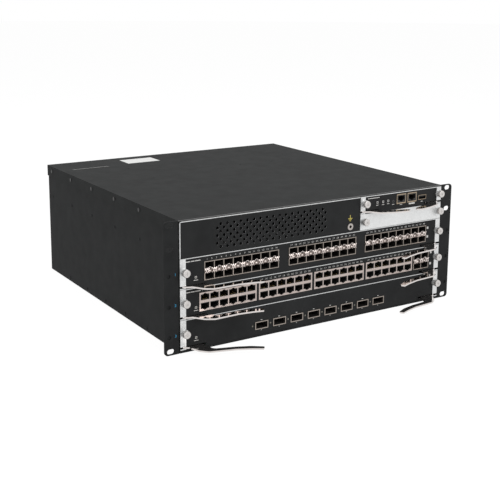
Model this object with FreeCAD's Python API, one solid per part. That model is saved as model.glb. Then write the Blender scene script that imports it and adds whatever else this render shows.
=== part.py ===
import FreeCAD, Part
import math
import os

os.makedirs("parts", exist_ok=True)
Vector = FreeCAD.Vector

# All sizes are millimetres. X runs to the right seen from the front, Y to the back, Z up.
# The origin is the middle of the base. Depths are counted back from the front face of the rack ears.
# A size whose name ends in share is a part of another length.

# Chassis sheets
rack_width = 482.6
chassis_height = 175.0
chassis_depth = 450.0
side_sheet = 1.2
cover_sheet = 1.2
cover_flange = 17.0
cover_lip = 3.0
ear_width = 21.9
ear_sheet = 2.0
ear_leg = 32.0
ear_corner = 5.0
ear_bend = 1.9
front_lip = 11.2
floor_lip = 3.9
cover_gap = 0.2
cover_lip_inset = 1.0
ear_foot = 6.0
ear_leg_drop = 8.0

# Rack holes in the ears, counted in from the ears' edges, and the blind inserts beside the cards
rack_hole_inset = 8.75
rack_hole_margin = 4.95
extra_hole_drop = 36.7
rack_slot_length = 10.5
rack_slot_width = 7.0
insert_inset = 6.5
insert_drop = 2.9
insert_radius = 2.6
insert_depth = 1.2

# Card bays
card_count = 3
card_gap = 0.5
bay_floor = 4.2
upper_row_share = 0.28
upper_row_extra = 0.6
card_depth = 262.0
end_gap = 0.2
shelf_sheet = 1.0
shelf_gap = 0.3
divider_share = 0.155
divider_sheet = 1.0
divider_gap = 0.35
top_gap = 0.5
management_height = 24.6

# Sheets that close the front; all but the upper ones have a flange turned back along the top
plate_sheet = 1.2
plate_flange = 8.0
plate_flange_inset = 13.0
intake_corner = 3.0

# Cards behind the plates
tray_sheet = 1.0
tray_lift = 0.2
tray_side_gap = 12.2
board_lift = 5.8
board_sheet = 1.6
board_inset = 6.0
board_front = 1.0
card_connector_depth = 14.0
connector_height = 20.0
connector_half = 29.0
connector_length = 4.0
socket_half = 30.0
connector_gap = 0.3
standoff_radius = 3.0
standoff_count = 3
standoff_front = 70.0
standoff_margin = 32.0
heat_sink_share = 0.5
fin_room = 10.0
twin_sink_x = 80.0
high_sink_side = 70.0
high_sink_rise = 22.0
middle_sink_side = 60.0
middle_sink_rise = 18.0
low_sink_side = 90.0
low_sink_rise = 24.0
management_sink_side = 40.0
management_sink_rise = 9.0

# Guide rails
guide_front = 30.0
guide_ledge = 18.2
guide_top_ledge = 14.2
guide_web = 1.0
guide_height = 8.8
guide_clearance = 0.4

# Ejector levers: each is a flat plate that turns on a pin in the tray
lever_sheet = 2.0
lever_lift = 1.7
lever_pivot_inset = 16.2
lever_pivot_depth = 9.0
lever_root_radius = 14.5
lever_pin_radius = 2.5
lever_pin_clearance = 0.08
lever_pin_head = 3.8
lever_pin_head_sheet = 0.7
lever_slot_gap = 0.4
lever_notch_gap = 0.5
lever_slot_reach = 37.6
management_slot_reach = 33.0
# How far the levers of each line card stand open at rest: left and right, in degrees
lever_rest_angles = {1: (-6.0, 0.0), 2: (-8.0, 0.0), 3: (10.0, 0.0)}

# Captive thumbscrews
screw_inset = 5.7
line_screw_rise = 22.4
management_screw_rise = 14.8
filler_screw_share = 0.535
screw_knob_radius = 5.2
screw_knob_length = 3.9
screw_knob_chamfer = 0.7
screw_neck_radius = 3.4
screw_neck_length = 1.0
screw_shank_radius = 2.0
screw_shank_length = 7.0
screw_hole_clearance = 0.3
collar_radius = 5.3
collar_length = 3.8
collar_gap = 0.3

# Ports
port_proud = 0.4
cutout_gap = 0.3
sfp_pitch = 14.2
sfp_wall = 1.0
sfp_block_height_share = 0.625
sfp_band = 5.54
sfp_depth = 48.0
sfp_block_count = 3
sfp_block_share = 0.298
sfp_block_space = 16.0
sfp_middle_x = 4.1
jack_pitch = 14.1
jack_edge = 1.2
jack_block_height_share = 0.62
jack_block_count = 4
jack_block_share = 0.2065
jack_block_space = 4.0
jack_middle_x = -12.0
jack_depth = 26.0
jack_pocket = 16.0
jack_opening_width = 11.8
jack_opening_height = 6.4
jack_latch_width = 6.2
jack_latch_height = 1.4
jack_key_width = 3.2
jack_key_height = 0.9
uplink_inset = 34.5
uplink_columns = 2
qsfp_count = 8
qsfp_share = 0.0654
qsfp_width = 20.0
qsfp_height = 10.0
qsfp_wall = 0.6
qsfp_depth = 60.0
qsfp_middle_x = 4.2
console_inset = 76.9
network_inset = 56.7
single_jack_width = 17.2
single_jack_height = 14.2
single_jack_depth = 18.0
single_jack_pocket = 14.0
usb_inset = 37.1
usb_width = 14.9
usb_height = 6.9
usb_wall = 0.6
usb_lift = 1.7
usb_depth = 14.0
usb_tongue_inset = 1.4
usb_tongue_top = 0.6
usb_tongue_sheet = 1.6
usb_tongue_setback = 1.5
pocket_floor = 2.0

# Air intake panel
vent_pitch = 10.1
vent_radius = 2.3
vent_sides = 6
vent_inset = 59.9
vent_drop = 11.2
vent_right_space = 60.0
vent_low_space = 6.0
earth_jack_inset = 17.8
earth_jack_rise = 7.9
earth_jack_radius = 4.8
earth_jack_bore = 2.05
earth_jack_length = 9.0
earth_jack_body = 3.6
earth_jack_fit = 0.1
earth_jack_flange = 1.0

# Boards and modules behind
backplane_sheet = 3.0
backplane_inset = 6.2
backplane_gap = 0.5
backplane_top_gap = 2.0
supply_width_share = 0.3168
supply_top_gap = 4.6
supply_length = 250.0
supply_gap = 1.5
supply_wall = 1.0
supply_proud = 1.5
power_board_sheet = 2.4
power_board_margin = 1.5
power_board_drop = 8.0
power_socket_length = 8.0
power_socket_half = 35.0
power_socket_lift = 8.0
power_socket_height = 18.0
inlet_x = 10.0
inlet_width = 27.0
inlet_height = 19.6
inlet_depth = 16.0
inlet_wall = 1.5
blade_half_width = 1.0
blade_half_height = 3.0
blade_setback = 6.0
blade_places = ((-7.0, -2.5), (0.0, 2.5), (7.0, -2.5))
supply_grille_share = 0.662
supply_grille_height_share = 0.442
supply_handle_share = 0.374
supply_handle_margin = 5.0
latch_inset = 8.0
latch_setback = 2.0
latch_width = 3.0
latch_length = 20.0
latch_height = 12.0
latch_pad_reach = 4.0
latch_pivot_reach = 5.0
latch_boss_wall = 1.5
latch_lug_half = 3.0
latch_lug_reach = 8.0
latch_lug_sheet = 2.0
latch_end_gap = 0.4
latch_pin_radius = 1.5
latch_pin_clearance = 0.08
fan_size_share = 0.735
fan_depth = 38.0
fan_count = 3
fan_spacing_share = 0.2963
fan_frame_wall = 2.0
fan_tip_gap = 1.2
fan_hub_radius = 18.0
fan_blades = 7
fan_blade_sheet = 1.6
fan_blade_angle = 38.0
fan_shaft_radius = 3.0
fan_shaft_clearance = 0.06
fan_shaft_inset = 8.0
fan_plate_sheet = 3.0
fan_strut_half = 2.0
rotor_front_gap = 1.0
rotor_back_gap = 4.0
blade_overlap_share = 1.5
fan_panel_sheet = 1.5
fan_panel_margin = 1.2
fan_tray_reach = 62.0
fan_opening_border = 18.2
fan_opening_margin = 6.0
fan_floor_gap = 1.0
fan_plug_half = 30.0
fan_plug_reach = 8.0
fan_plug_length = 12.0
fan_plug_height = 12.0
fan_screw_inset = 8.0
grille_slot_count = 8
grille_bar = 2.2
handle_reach = 26.0
handle_bar = 6.0
fan_handle_half = 30.0

# Case screws
case_screw_radius = 2.8
case_screw_head = 0.9
cover_screw_pitch = 80.0
cover_screw_count = 5
cover_screw_first = 111.0
cover_screw_rise = 7.8
ear_screw_count = 3
ear_screw_depth = 19.2

# Places worked out from the sizes above
front_plane = -chassis_depth / 2
body_width = rack_width - 2 * ear_width
half_body = body_width / 2
half_inner = half_body - side_sheet
half_rack = rack_width / 2
floor_top = side_sheet
cover_under = chassis_height - cover_sheet
upper_row = chassis_height * upper_row_share + upper_row_extra
card_pitch = (chassis_height - upper_row - bay_floor) / card_count
card_height = card_pitch - card_gap
stack_top = bay_floor + card_count * card_pitch
shelf_under = stack_top - card_gap + shelf_gap
shelf_top = shelf_under + shelf_sheet
upper_top = cover_under - top_gap
management_bottom = upper_top - management_height
filler_top = management_bottom - card_gap
divider_x = body_width * divider_share
divider_left = divider_x - divider_sheet / 2
divider_right = divider_x + divider_sheet / 2
line_end = half_body - end_gap
management_left = divider_x + divider_gap
management_middle = (management_left + line_end) / 2
backplane_front = card_depth + card_connector_depth
board_top = board_lift + board_sheet
port_front = -plate_sheet - port_proud
sfp_block_pitch = body_width * sfp_block_share
sfp_columns = int((sfp_block_pitch - sfp_block_space) / sfp_pitch)
jack_block_pitch = body_width * jack_block_share
jack_columns = int((jack_block_pitch - jack_block_space) / jack_pitch)
supply_width = body_width * supply_width_share
supply_height = cover_under - shelf_top - supply_top_gap
fan_size = shelf_under * fan_size_share
fan_bore = fan_size / 2 - fan_frame_wall
fan_spacing = body_width * fan_spacing_share


def slab(x0, x1, d0, d1, z0, z1):
    """A rectangular block; d0 and d1 are depths behind the ears' front face."""
    return Part.makeBox(x1 - x0, d1 - d0, z1 - z0, Vector(x0, front_plane + d0, z0))


def rod(x, z, radius, d0, d1):
    """A cylinder that runs from front to back."""
    return Part.makeCylinder(radius, d1 - d0, Vector(x, front_plane + d0, z), Vector(0, 1, 0))


def post(x, d, radius, z0, z1):
    """An upright cylinder."""
    return Part.makeCylinder(radius, z1 - z0, Vector(x, front_plane + d, z0))


def rounded_wire(corners, place):
    """A closed outline from (a, b, corner radius) points; place puts a flat point in space."""
    flat = [Vector(a, b, 0) for a, b, _ in corners]
    edges = []
    last_end = None
    first_start = None
    for index, (_, _, radius) in enumerate(corners):
        here = flat[index]
        before = flat[index - 1]
        after = flat[(index + 1) % len(flat)]
        if radius > 0:
            to_before = (before - here).normalize()
            to_after = (after - here).normalize()
            half_angle = to_before.getAngle(to_after) / 2
            setback = radius / math.tan(half_angle)
            start = here + to_before * setback
            end = here + to_after * setback
            bisector = (to_before + to_after).normalize()
            top = here + bisector * (radius / math.sin(half_angle) - radius)
        else:
            start = here
            end = here
        if last_end is not None and last_end.distanceToPoint(start) > 1e-6:
            edges.append(Part.LineSegment(place(last_end), place(start)).toShape())
        if radius > 0:
            edges.append(Part.Arc(place(start), place(top), place(end)).toShape())
        if first_start is None:
            first_start = start
        last_end = end
    if last_end.distanceToPoint(first_start) > 1e-6:
        edges.append(Part.LineSegment(place(last_end), place(first_start)).toShape())
    return Part.Wire(edges)


def front_plate(corners, d0, d1):
    """A flat outline in X and Z, d1 - d0 thick from front to back."""
    wire = rounded_wire(corners, lambda p: Vector(p.x, front_plane + d0, p.y))
    return Part.Face(wire).extrude(Vector(0, d1 - d0, 0))


def level_plate(corners, z0, z1):
    """A flat outline in X and depth, z1 - z0 thick."""
    wire = rounded_wire(corners, lambda p: Vector(p.x, front_plane + p.y, z0))
    return Part.Face(wire).extrude(Vector(0, 0, z1 - z0))


def joined(pieces):
    """One solid from pieces that touch or overlap."""
    return pieces[0].fuse(pieces[1:]).removeSplitter()


def group(pieces):
    """Separate solids of one node."""
    return Part.makeCompound(pieces)


def side_slot(x, z, length, width, d0, d1):
    """Tools for a slot with round ends that runs along X."""
    reach = (length - width) / 2
    return [
        slab(x - reach, x + reach, d0, d1, z - width / 2, z + width / 2),
        rod(x - reach, z, width / 2, d0, d1),
        rod(x + reach, z, width / 2, d0, d1),
    ]


def spread(count, middle, pitch):
    """Places at one pitch on both sides of a middle."""
    return [middle + (index - (count - 1) / 2) * pitch for index in range(count)]


def card_bottom(number):
    """Card 1 is the highest."""
    return bay_floor + (card_count - number) * card_pitch


line_bottoms = [card_bottom(number + 1) for number in range(card_count)]
line_screws = [bottom + line_screw_rise for bottom in line_bottoms]
management_screw_z = management_bottom + management_screw_rise
ear_leg_top = chassis_height - cover_flange - ear_leg_drop
filler_screw_z = stack_top + (filler_top - stack_top) * filler_screw_share


def chassis_shell():
    """Floor and two sides folded from one sheet, with lips turned in round the front."""
    pieces = [
        slab(-half_body, half_body, 0, chassis_depth, 0, side_sheet),
        slab(-half_body, half_body, 0, side_sheet, 0, floor_lip),
    ]
    for side in (-1, 1):
        wall = sorted((side * half_body, side * half_inner))
        lip = sorted((side * half_inner, side * (half_inner - front_lip)))
        pieces.append(slab(wall[0], wall[1], 0, chassis_depth, 0, cover_under))
        pieces.append(slab(lip[0], lip[1], 0, side_sheet, 0, cover_under - cover_lip - cover_gap))
    shell = joined(pieces)
    tools = []
    for side in (-1, 1):
        lip = sorted((side * half_inner, side * (half_inner - front_lip - 1)))
        for bottom in line_bottoms + ([management_bottom] if side == 1 else []):
            low = bottom + lever_lift - lever_notch_gap
            high = bottom + lever_lift + lever_sheet + lever_notch_gap
            tools.append(slab(lip[0], lip[1], -1, side_sheet + 1, low, high))
        heights = line_screws + ([management_screw_z, filler_screw_z] if side == 1 else [])
        for z in heights:
            tools.append(rod(side * (line_end - screw_inset), z, screw_shank_radius + screw_hole_clearance,
                             -1, side_sheet + 1))
    return shell.cut(tools)


def top_cover():
    """Lid with flanges that lap over the sides, and lips turned down at front and back."""
    half_cover = half_body + cover_sheet
    flange_front = ear_sheet + cover_gap
    pieces = [
        slab(-half_cover, half_cover, 0, chassis_depth + cover_sheet, cover_under, chassis_height),
        slab(-half_inner + cover_lip_inset, half_inner - cover_lip_inset, 0, cover_sheet,
             cover_under - cover_lip, cover_under),
        slab(-half_cover, half_cover, chassis_depth, chassis_depth + cover_sheet,
             cover_under - cover_lip, cover_under),
    ]
    for side in (-1, 1):
        flange = sorted((side * half_body, side * half_cover))
        pieces.append(slab(flange[0], flange[1], flange_front, chassis_depth + cover_sheet,
                           chassis_height - cover_flange, cover_under))
    return joined(pieces)


def rack_ear(side):
    """Angle bracket: a leg on the chassis side and a flange with the rack slots."""
    inner = side * half_body
    outer = side * half_rack
    flange = front_plate([(inner, 0, 0), (outer, 0, ear_corner), (outer, chassis_height, ear_corner),
                          (inner, chassis_height, 0)], 0, ear_sheet)
    leg = sorted((side * half_body, side * (half_body + ear_sheet)))
    ear = joined([flange, slab(leg[0], leg[1], 0, ear_leg, ear_foot, ear_leg_top)])
    fold = [edge for edge in ear.Edges if edge.Length > chassis_height / 2
            and edge.CenterOfMass.distanceToLine(Vector(inner, front_plane, 0), Vector(0, 0, 1)) < 1e-3]
    ear = ear.makeFillet(ear_bend, fold)
    notch = sorted((side * (half_body - 1), side * (half_body + cover_sheet + cover_gap)))
    tools = [slab(notch[0], notch[1], -1, ear_sheet + 1, chassis_height - cover_flange - cover_gap,
                  chassis_height + 1)]
    for z in (rack_hole_margin, chassis_height - extra_hole_drop, chassis_height - rack_hole_margin):
        tools += side_slot(side * (half_rack - rack_hole_inset), z, rack_slot_length, rack_slot_width,
                           -1, ear_sheet + 1)
    for z in line_screws:
        tools.append(rod(side * (half_rack - insert_inset), z - insert_drop, insert_radius,
                         -1, insert_depth))
    return ear.cut(tools)


def shelf():
    """Sheet between the line cards and the upper row; its back part carries the power supplies."""
    outline = [(-half_inner, side_sheet, 0), (half_inner, side_sheet, 0),
               (half_inner, backplane_front - backplane_gap, 0),
               (divider_right, backplane_front - backplane_gap, 0),
               (divider_right, chassis_depth - side_sheet, 0), (-half_inner, chassis_depth - side_sheet, 0)]
    return level_plate(outline, shelf_under, shelf_top)


def bay_divider():
    """Upright sheet beside the management bay, with a lip that takes its screws."""
    wall = slab(divider_left, divider_right, 0, chassis_depth - side_sheet, shelf_top, cover_under)
    lip = slab(divider_right, divider_right + front_lip, 0, side_sheet, shelf_top,
               cover_under - cover_lip - cover_gap)
    front_relief = slab(divider_left - 1, divider_right, -1, cover_sheet + cover_gap,
                        cover_under - cover_lip - cover_gap, cover_under + 1)
    low = management_bottom + lever_lift - lever_notch_gap
    high = management_bottom + lever_lift + lever_sheet + lever_notch_gap
    tools = [slab(divider_right, divider_right + front_lip + 1, -1, side_sheet + 1, low, high), front_relief]
    for z in (management_screw_z, filler_screw_z):
        tools.append(rod(management_left + screw_inset, z, screw_shank_radius + screw_hole_clearance,
                         -1, side_sheet + 1))
    return joined([wall, lip]).cut(tools)


def guide(wall_x, inward, bottom):
    """Channel rail on a wall: a card's tray slides between its two ledges."""
    tray_under = bottom + tray_lift
    low = tray_under - guide_web
    slot_top = tray_under + tray_sheet + guide_clearance
    web = sorted((wall_x, wall_x + inward * guide_web))
    ledge = sorted((wall_x, wall_x + inward * guide_ledge))
    top = sorted((wall_x, wall_x + inward * guide_top_ledge))
    return joined([
        slab(web[0], web[1], guide_front, card_depth, low, low + guide_height),
        slab(ledge[0], ledge[1], guide_front, card_depth, low, tray_under),
        slab(top[0], top[1], guide_front, card_depth, slot_top, slot_top + guide_web),
    ])


def card_guides():
    """Rails for the line cards and for the management card."""
    rails = []
    for bottom in line_bottoms:
        rails.append(guide(-half_inner, 1, bottom))
        rails.append(guide(half_inner, -1, bottom))
    rails.append(guide(divider_right, 1, management_bottom))
    rails.append(guide(half_inner, -1, management_bottom))
    return group(rails)


def connector_places(left, right):
    """Middles of the connectors along a card's rear edge."""
    middle = (left + right) / 2
    step = (right - left) / 3
    return [middle] if right - left < half_body else [middle - step, middle, middle + step]


def backplane():
    """Upright board that joins the cards, with one row of sockets for each card."""
    half = half_inner - backplane_inset
    low_top = shelf_under - backplane_top_gap
    outline = [(-half, floor_top, 0), (half, floor_top, 0), (half, cover_under - backplane_top_gap, 0),
               (divider_right + backplane_top_gap, cover_under - backplane_top_gap, 0),
               (divider_right + backplane_top_gap, low_top, 0), (-half, low_top, 0)]
    pieces = [front_plate(outline, backplane_front, backplane_front + backplane_sheet)]
    rows = [(bottom, -half_inner, half_inner) for bottom in line_bottoms]
    rows.append((management_bottom, divider_right, half_inner))
    for bottom, left, right in rows:
        base = bottom + board_top
        height = connector_height if left < 0 else connector_height / 2
        for x in connector_places(left, right):
            pieces.append(slab(x - socket_half, x + socket_half, card_depth + connector_gap, backplane_front,
                               base, base + height))
    return joined(pieces)


def screw_collar(x, z):
    """Ring that holds a captive screw, fixed to the front of its sheet."""
    front = -plate_sheet - collar_length
    ring = rod(x, z, collar_radius, front, -plate_sheet)
    return ring.cut(rod(x, z, screw_shank_radius + screw_hole_clearance, front - 1, 1))


def faceplate(left, right, bottom, top, screw_z, slot_reach, cutouts):
    """Front sheet with lever slots above its bottom edge and port cut-outs, and its screw collars."""
    pieces = [slab(left, right, -plate_sheet, 0, bottom, top)]
    if top < upper_top:
        pieces.append(slab(left + plate_flange_inset, right - plate_flange_inset, -plate_sheet, plate_flange,
                           top - plate_sheet, top))
    tools = list(cutouts)
    collars = []
    for x in (left + screw_inset, right - screw_inset):
        tools.append(rod(x, screw_z, screw_shank_radius + screw_hole_clearance, -plate_sheet - 1, 1))
        collars.append(screw_collar(x, screw_z))
    if slot_reach > 0:
        low = bottom + lever_lift - lever_slot_gap
        high = bottom + lever_lift + lever_sheet + lever_slot_gap
        tools.append(slab(left - 1, left + slot_reach, -plate_sheet - 1, 1, low, high))
        tools.append(slab(right - slot_reach, right + 1, -plate_sheet - 1, 1, low, high))
    return Part.makeCompound([joined(pieces).cut(tools)] + collars)


def captive_screw(x, z, seat, outward, shank_end):
    """Knob, neck and shank of a captive screw; its neck starts at seat and it faces front or back."""
    knob_start = seat + outward * screw_neck_length
    knob_face = knob_start + outward * screw_knob_length
    knob = rod(x, z, screw_knob_radius, min(knob_start, knob_face), max(knob_start, knob_face))
    circles = [edge for edge in knob.Edges if edge.BoundBox.YLength < 1e-3]
    knob = knob.makeChamfer(screw_knob_chamfer, circles)
    neck = rod(x, z, screw_neck_radius, min(seat, knob_start), max(seat, knob_start))
    shank = rod(x, z, screw_shank_radius, min(shank_end, seat), max(shank_end, seat))
    return joined([knob, neck, shank])


def thumbscrew(x, z):
    """Captive screw that faces forward."""
    return captive_screw(x, z, -plate_sheet - collar_length - collar_gap, -1, screw_shank_length)


def lever(end_x, inward, bottom, arm, opened):
    """Flat ejector lever: a round root on the pin and a bent arm along the card's front."""
    pivot_x = end_x + inward * lever_pivot_inset
    low = bottom + lever_lift
    outline = [(end_x + inward * a, d, r) for a, d, r in arm]
    plate = level_plate(outline, low, low + lever_sheet)
    root = post(pivot_x, lever_pivot_depth, lever_root_radius, low, low + lever_sheet)
    hole = post(pivot_x, lever_pivot_depth, lever_pin_radius + lever_pin_clearance, low - 1,
                low + lever_sheet + 1)
    shape = joined([root, plate]).cut(hole)
    shape.rotate(Vector(pivot_x, front_plane + lever_pivot_depth, low), Vector(0, 0, 1), -inward * opened)
    return shape


# Arm outlines: distance in from the card's end, depth, corner radius. The outer half of the management
# levers' arm is placed from the middle of their card, so that the two tips never meet.
half_management = management_middle - management_left
line_arm = [(19.0, 3.0, 0), (12.5, -3.0, 0), (21.5, -20.5, 8.0), (32.0, -28.5, 6.0), (68.0, -32.3, 30.0),
            (88.0, -38.0, 20.0), (101.5, -43.5, 2.0), (105.0, -37.5, 2.0), (89.0, -29.5, 20.0),
            (69.0, -24.5, 30.0), (41.0, -21.0, 8.0), (34.3, -3.0, 8.0), (24.0, 9.0, 0)]
management_arm = [(18.5, 2.0, 0), (13.5, -5.5, 0), (22.5, -19.5, 6.0), (half_management - 31.4, -26.5, 12.0),
                  (half_management - 12.4, -30.0, 6.0), (half_management - 4.4, -26.5, 2.0),
                  (half_management - 7.9, -22.0, 2.0), (half_management - 25.4, -15.5, 6.0),
                  (32.0, -8.5, 6.0), (27.0, 3.0, 0)]


def card_tray(left_wall, right_wall, left_end, right_end, bottom):
    """Sheet under a card with the lever pins and the board's standoffs."""
    under = bottom + tray_lift
    top = under + tray_sheet
    left = left_wall + tray_side_gap
    right = right_wall - tray_side_gap
    pieces = [slab(left, right, 0, card_depth - card_connector_depth, under, top)]
    lever_top = bottom + lever_lift + lever_sheet
    for x in (left_end + lever_pivot_inset, right_end - lever_pivot_inset):
        pieces.append(post(x, lever_pivot_depth, lever_pin_radius, top, lever_top + lever_slot_gap))
        pieces.append(post(x, lever_pivot_depth, lever_pin_head, lever_top + lever_slot_gap,
                           lever_top + lever_slot_gap + lever_pin_head_sheet))
    standoff_pitch = (card_depth - standoff_margin - standoff_front) / (standoff_count - 1)
    for x in (left + 2 * board_inset, right - 2 * board_inset):
        for index in range(standoff_count):
            depth = standoff_front + index * standoff_pitch
            ring = [(x + standoff_radius * math.cos(math.radians(60 * k)),
                     depth + standoff_radius * math.sin(math.radians(60 * k)), 0) for k in range(6)]
            pieces.append(level_plate(ring, top, bottom + board_lift))
    return joined(pieces)


def heat_sink(x, size, base_z, height):
    """Finned block; the fins run from front to back."""
    depth = card_depth * heat_sink_share
    fins = int(size / fin_room) + 1
    step = size / (2 * fins - 1)
    front = depth - size / 2
    foot = base_z + height / 4
    pieces = [slab(x - size / 2, x + size / 2, front, front + size, base_z, foot)]
    for index in range(fins):
        left = x - size / 2 + 2 * index * step
        pieces.append(slab(left, left + step, front, front + size, foot, base_z + height))
    return joined(pieces)


def card_board(left_wall, right_wall, bottom, sink_places, sink_side, sink_rise):
    """Circuit board with its heat sinks and rear connectors soldered on."""
    left = left_wall + tray_side_gap + board_inset
    right = right_wall - tray_side_gap - board_inset
    under = bottom + board_lift
    top = under + board_sheet
    pieces = [slab(left, right, board_front, card_depth - card_connector_depth, under, top)]
    height = connector_height if left < 0 else connector_height / 2
    for x in connector_places(left_wall, right_wall):
        pieces.append(slab(x - connector_half, x + connector_half,
                           card_depth - card_connector_depth - connector_length, card_depth, top,
                           top + height))
    for x in sink_places:
        pieces.append(heat_sink(x, sink_side, top, sink_rise))
    return joined(pieces)


def cage_block(middle, base, columns):
    """Two rows of square sockets in one sheet-metal cage, with a band between the rows."""
    width = columns * sfp_pitch
    left = middle - width / 2
    height = card_height * sfp_block_height_share
    opening = (height - sfp_band) / 2 - sfp_wall
    body = slab(left - sfp_wall / 2, left + width + sfp_wall / 2, port_front, sfp_depth, base, base + height)
    tools = []
    for column in range(columns):
        x0 = left + column * sfp_pitch + sfp_wall / 2
        x1 = x0 + sfp_pitch - sfp_wall
        for z0 in (base + sfp_wall, base + height - sfp_wall - opening):
            tools.append(slab(x0, x1, port_front - 1, sfp_depth - pocket_floor, z0, z0 + opening))
    return body.cut(tools)


def jack_opening(x, z_base, upward, d0, d1):
    """Stepped opening of a data socket; the latch side is up or down."""
    levels = [(jack_opening_width / 2, 0), (jack_opening_width / 2, jack_opening_height),
              (jack_latch_width / 2, jack_opening_height),
              (jack_latch_width / 2, jack_opening_height + jack_latch_height),
              (jack_key_width / 2, jack_opening_height + jack_latch_height),
              (jack_key_width / 2, jack_opening_height + jack_latch_height + jack_key_height)]
    right_side = [(x + a, z_base + upward * b, 0) for a, b in levels]
    left_side = [(x - a, z_base + upward * b, 0) for a, b in reversed(levels)]
    return front_plate(right_side + left_side, d0, d1)


def jack_block(middle, base):
    """Two rows of data sockets in one shield; latches face away from the middle band."""
    half = (jack_columns * jack_pitch + 2 * jack_edge) / 2
    height = card_height * jack_block_height_share
    body = slab(middle - half, middle + half, port_front, jack_depth, base, base + height)
    opening = jack_opening_height + jack_latch_height + jack_key_height
    lower = base + jack_edge + opening
    upper = base + height - jack_edge - opening
    tools = []
    for x in spread(jack_columns, middle, jack_pitch):
        tools.append(jack_opening(x, lower, -1, port_front - 1, jack_pocket))
        tools.append(jack_opening(x, upper, 1, port_front - 1, jack_pocket))
    return body.cut(tools)


def qsfp_cage(middle, base):
    """Single wide socket for a pluggable module."""
    half = qsfp_width / 2
    body = slab(middle - half, middle + half, port_front, qsfp_depth, base, base + qsfp_height)
    return body.cut(slab(middle - half + qsfp_wall, middle + half - qsfp_wall, port_front - 1,
                         qsfp_depth - pocket_floor, base + qsfp_wall, base + qsfp_height - qsfp_wall))


def cutout(shape):
    """Hole in the front sheet for a socket, a little larger than the socket."""
    box = shape.BoundBox
    return slab(box.XMin - cutout_gap, box.XMax + cutout_gap, -plate_sheet - 1, 1,
                box.ZMin - cutout_gap, box.ZMax + cutout_gap)


earth_jack_x = divider_x - earth_jack_inset
earth_jack_z = stack_top + earth_jack_rise


def vent_hole(x, z):
    """Tool for one hole of the intake panel."""
    angles = [2 * math.pi * index / vent_sides for index in range(vent_sides)]
    ring = [(x + vent_radius * math.cos(a), z + vent_radius * math.sin(a), 0) for a in angles]
    return front_plate(ring, -plate_sheet - 1, 1)


def intake_panel():
    """Perforated front panel with staggered holes, and the hole for the earth jack."""
    left = -line_end
    right = divider_x - divider_gap
    panel = front_plate([(left, stack_top, 0), (right, stack_top, 0), (right, upper_top, 0),
                         (left, upper_top, intake_corner)], -plate_sheet, 0)
    tools = [rod(earth_jack_x, earth_jack_z, earth_jack_body + earth_jack_fit, -plate_sheet - 1, 1)]
    first_x = left + vent_inset
    first_z = chassis_height - vent_drop
    even_columns = int((right - vent_right_space - first_x) / vent_pitch) + 1
    even_rows = int((first_z - stack_top - vent_low_space) / vent_pitch) + 1
    for extra in (0, 1):
        for column in range(even_columns + extra):
            for row in range(even_rows - extra):
                x = first_x + (column - extra / 2) * vent_pitch
                z = first_z - (row + extra / 2) * vent_pitch
                tools.append(vent_hole(x, z))
    return panel.cut(tools)


def earth_jack():
    """Round socket for a wrist strap's plug."""
    front = -plate_sheet - earth_jack_flange
    back = front + earth_jack_length + pocket_floor
    body = joined([rod(earth_jack_x, earth_jack_z, earth_jack_radius, front, -plate_sheet),
                   rod(earth_jack_x, earth_jack_z, earth_jack_body, -plate_sheet, back)])
    return body.cut(rod(earth_jack_x, earth_jack_z, earth_jack_bore, front - 1, front + earth_jack_length))


def supply_left(number):
    """Left side of a power supply; number 1 is beside the chassis side."""
    return -half_inner + supply_gap + (number - 1) * (supply_width + supply_gap)


supply_rear = chassis_depth + supply_proud
fan_middle_z = (floor_top + shelf_under) / 2
fan_panel_half = half_inner - fan_panel_margin
fan_panel_low = floor_top + fan_panel_margin
fan_panel_high = shelf_under - fan_panel_margin
fan_places = spread(fan_count, 0, fan_spacing)
tray_screw_x = fan_panel_half - fan_screw_inset


def rear_panel():
    """Back sheet with openings for the fan tray and the power supplies."""
    panel = slab(-half_inner, half_inner, chassis_depth - side_sheet, chassis_depth, floor_top, cover_under)
    supplies = slab(-half_inner + supply_gap / 2, divider_left, chassis_depth - side_sheet - 1,
                    chassis_depth + 1, shelf_top, shelf_top + supply_height + supply_gap)
    fans = slab(-half_inner + fan_opening_border, half_inner - fan_opening_border,
                chassis_depth - side_sheet - 1, chassis_depth + 1, floor_top + fan_opening_margin,
                shelf_under - fan_opening_margin)
    tools = [supplies, fans]
    for side in (-1, 1):
        tools.append(rod(side * tray_screw_x, fan_middle_z, screw_shank_radius + screw_hole_clearance,
                         chassis_depth - side_sheet - 1, chassis_depth + 1))
    return panel.cut(tools)


def grille_tools(x, z, radius, d0, d1):
    """Level slots that together make a round grille with bars between them."""
    slots = []
    step = 2 * radius / grille_slot_count
    disc = rod(x, z, radius, d0, d1)
    for index in range(grille_slot_count):
        low = z - radius + index * step
        slots.append(slab(x - radius, x + radius, d0, d1, low + grille_bar / 2, low + step - grille_bar / 2))
    return [disc.common(slot) for slot in slots]


def grip(x, z0, z1, base):
    """Fixed pull handle that stands out to the back."""
    half = handle_bar / 2
    return [slab(x - half, x + half, base, base + handle_reach, z0, z0 + handle_bar),
            slab(x - half, x + half, base, base + handle_reach, z1 - handle_bar, z1),
            slab(x - half, x + half, base + handle_reach - handle_bar, base + handle_reach, z0, z1)]


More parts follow.
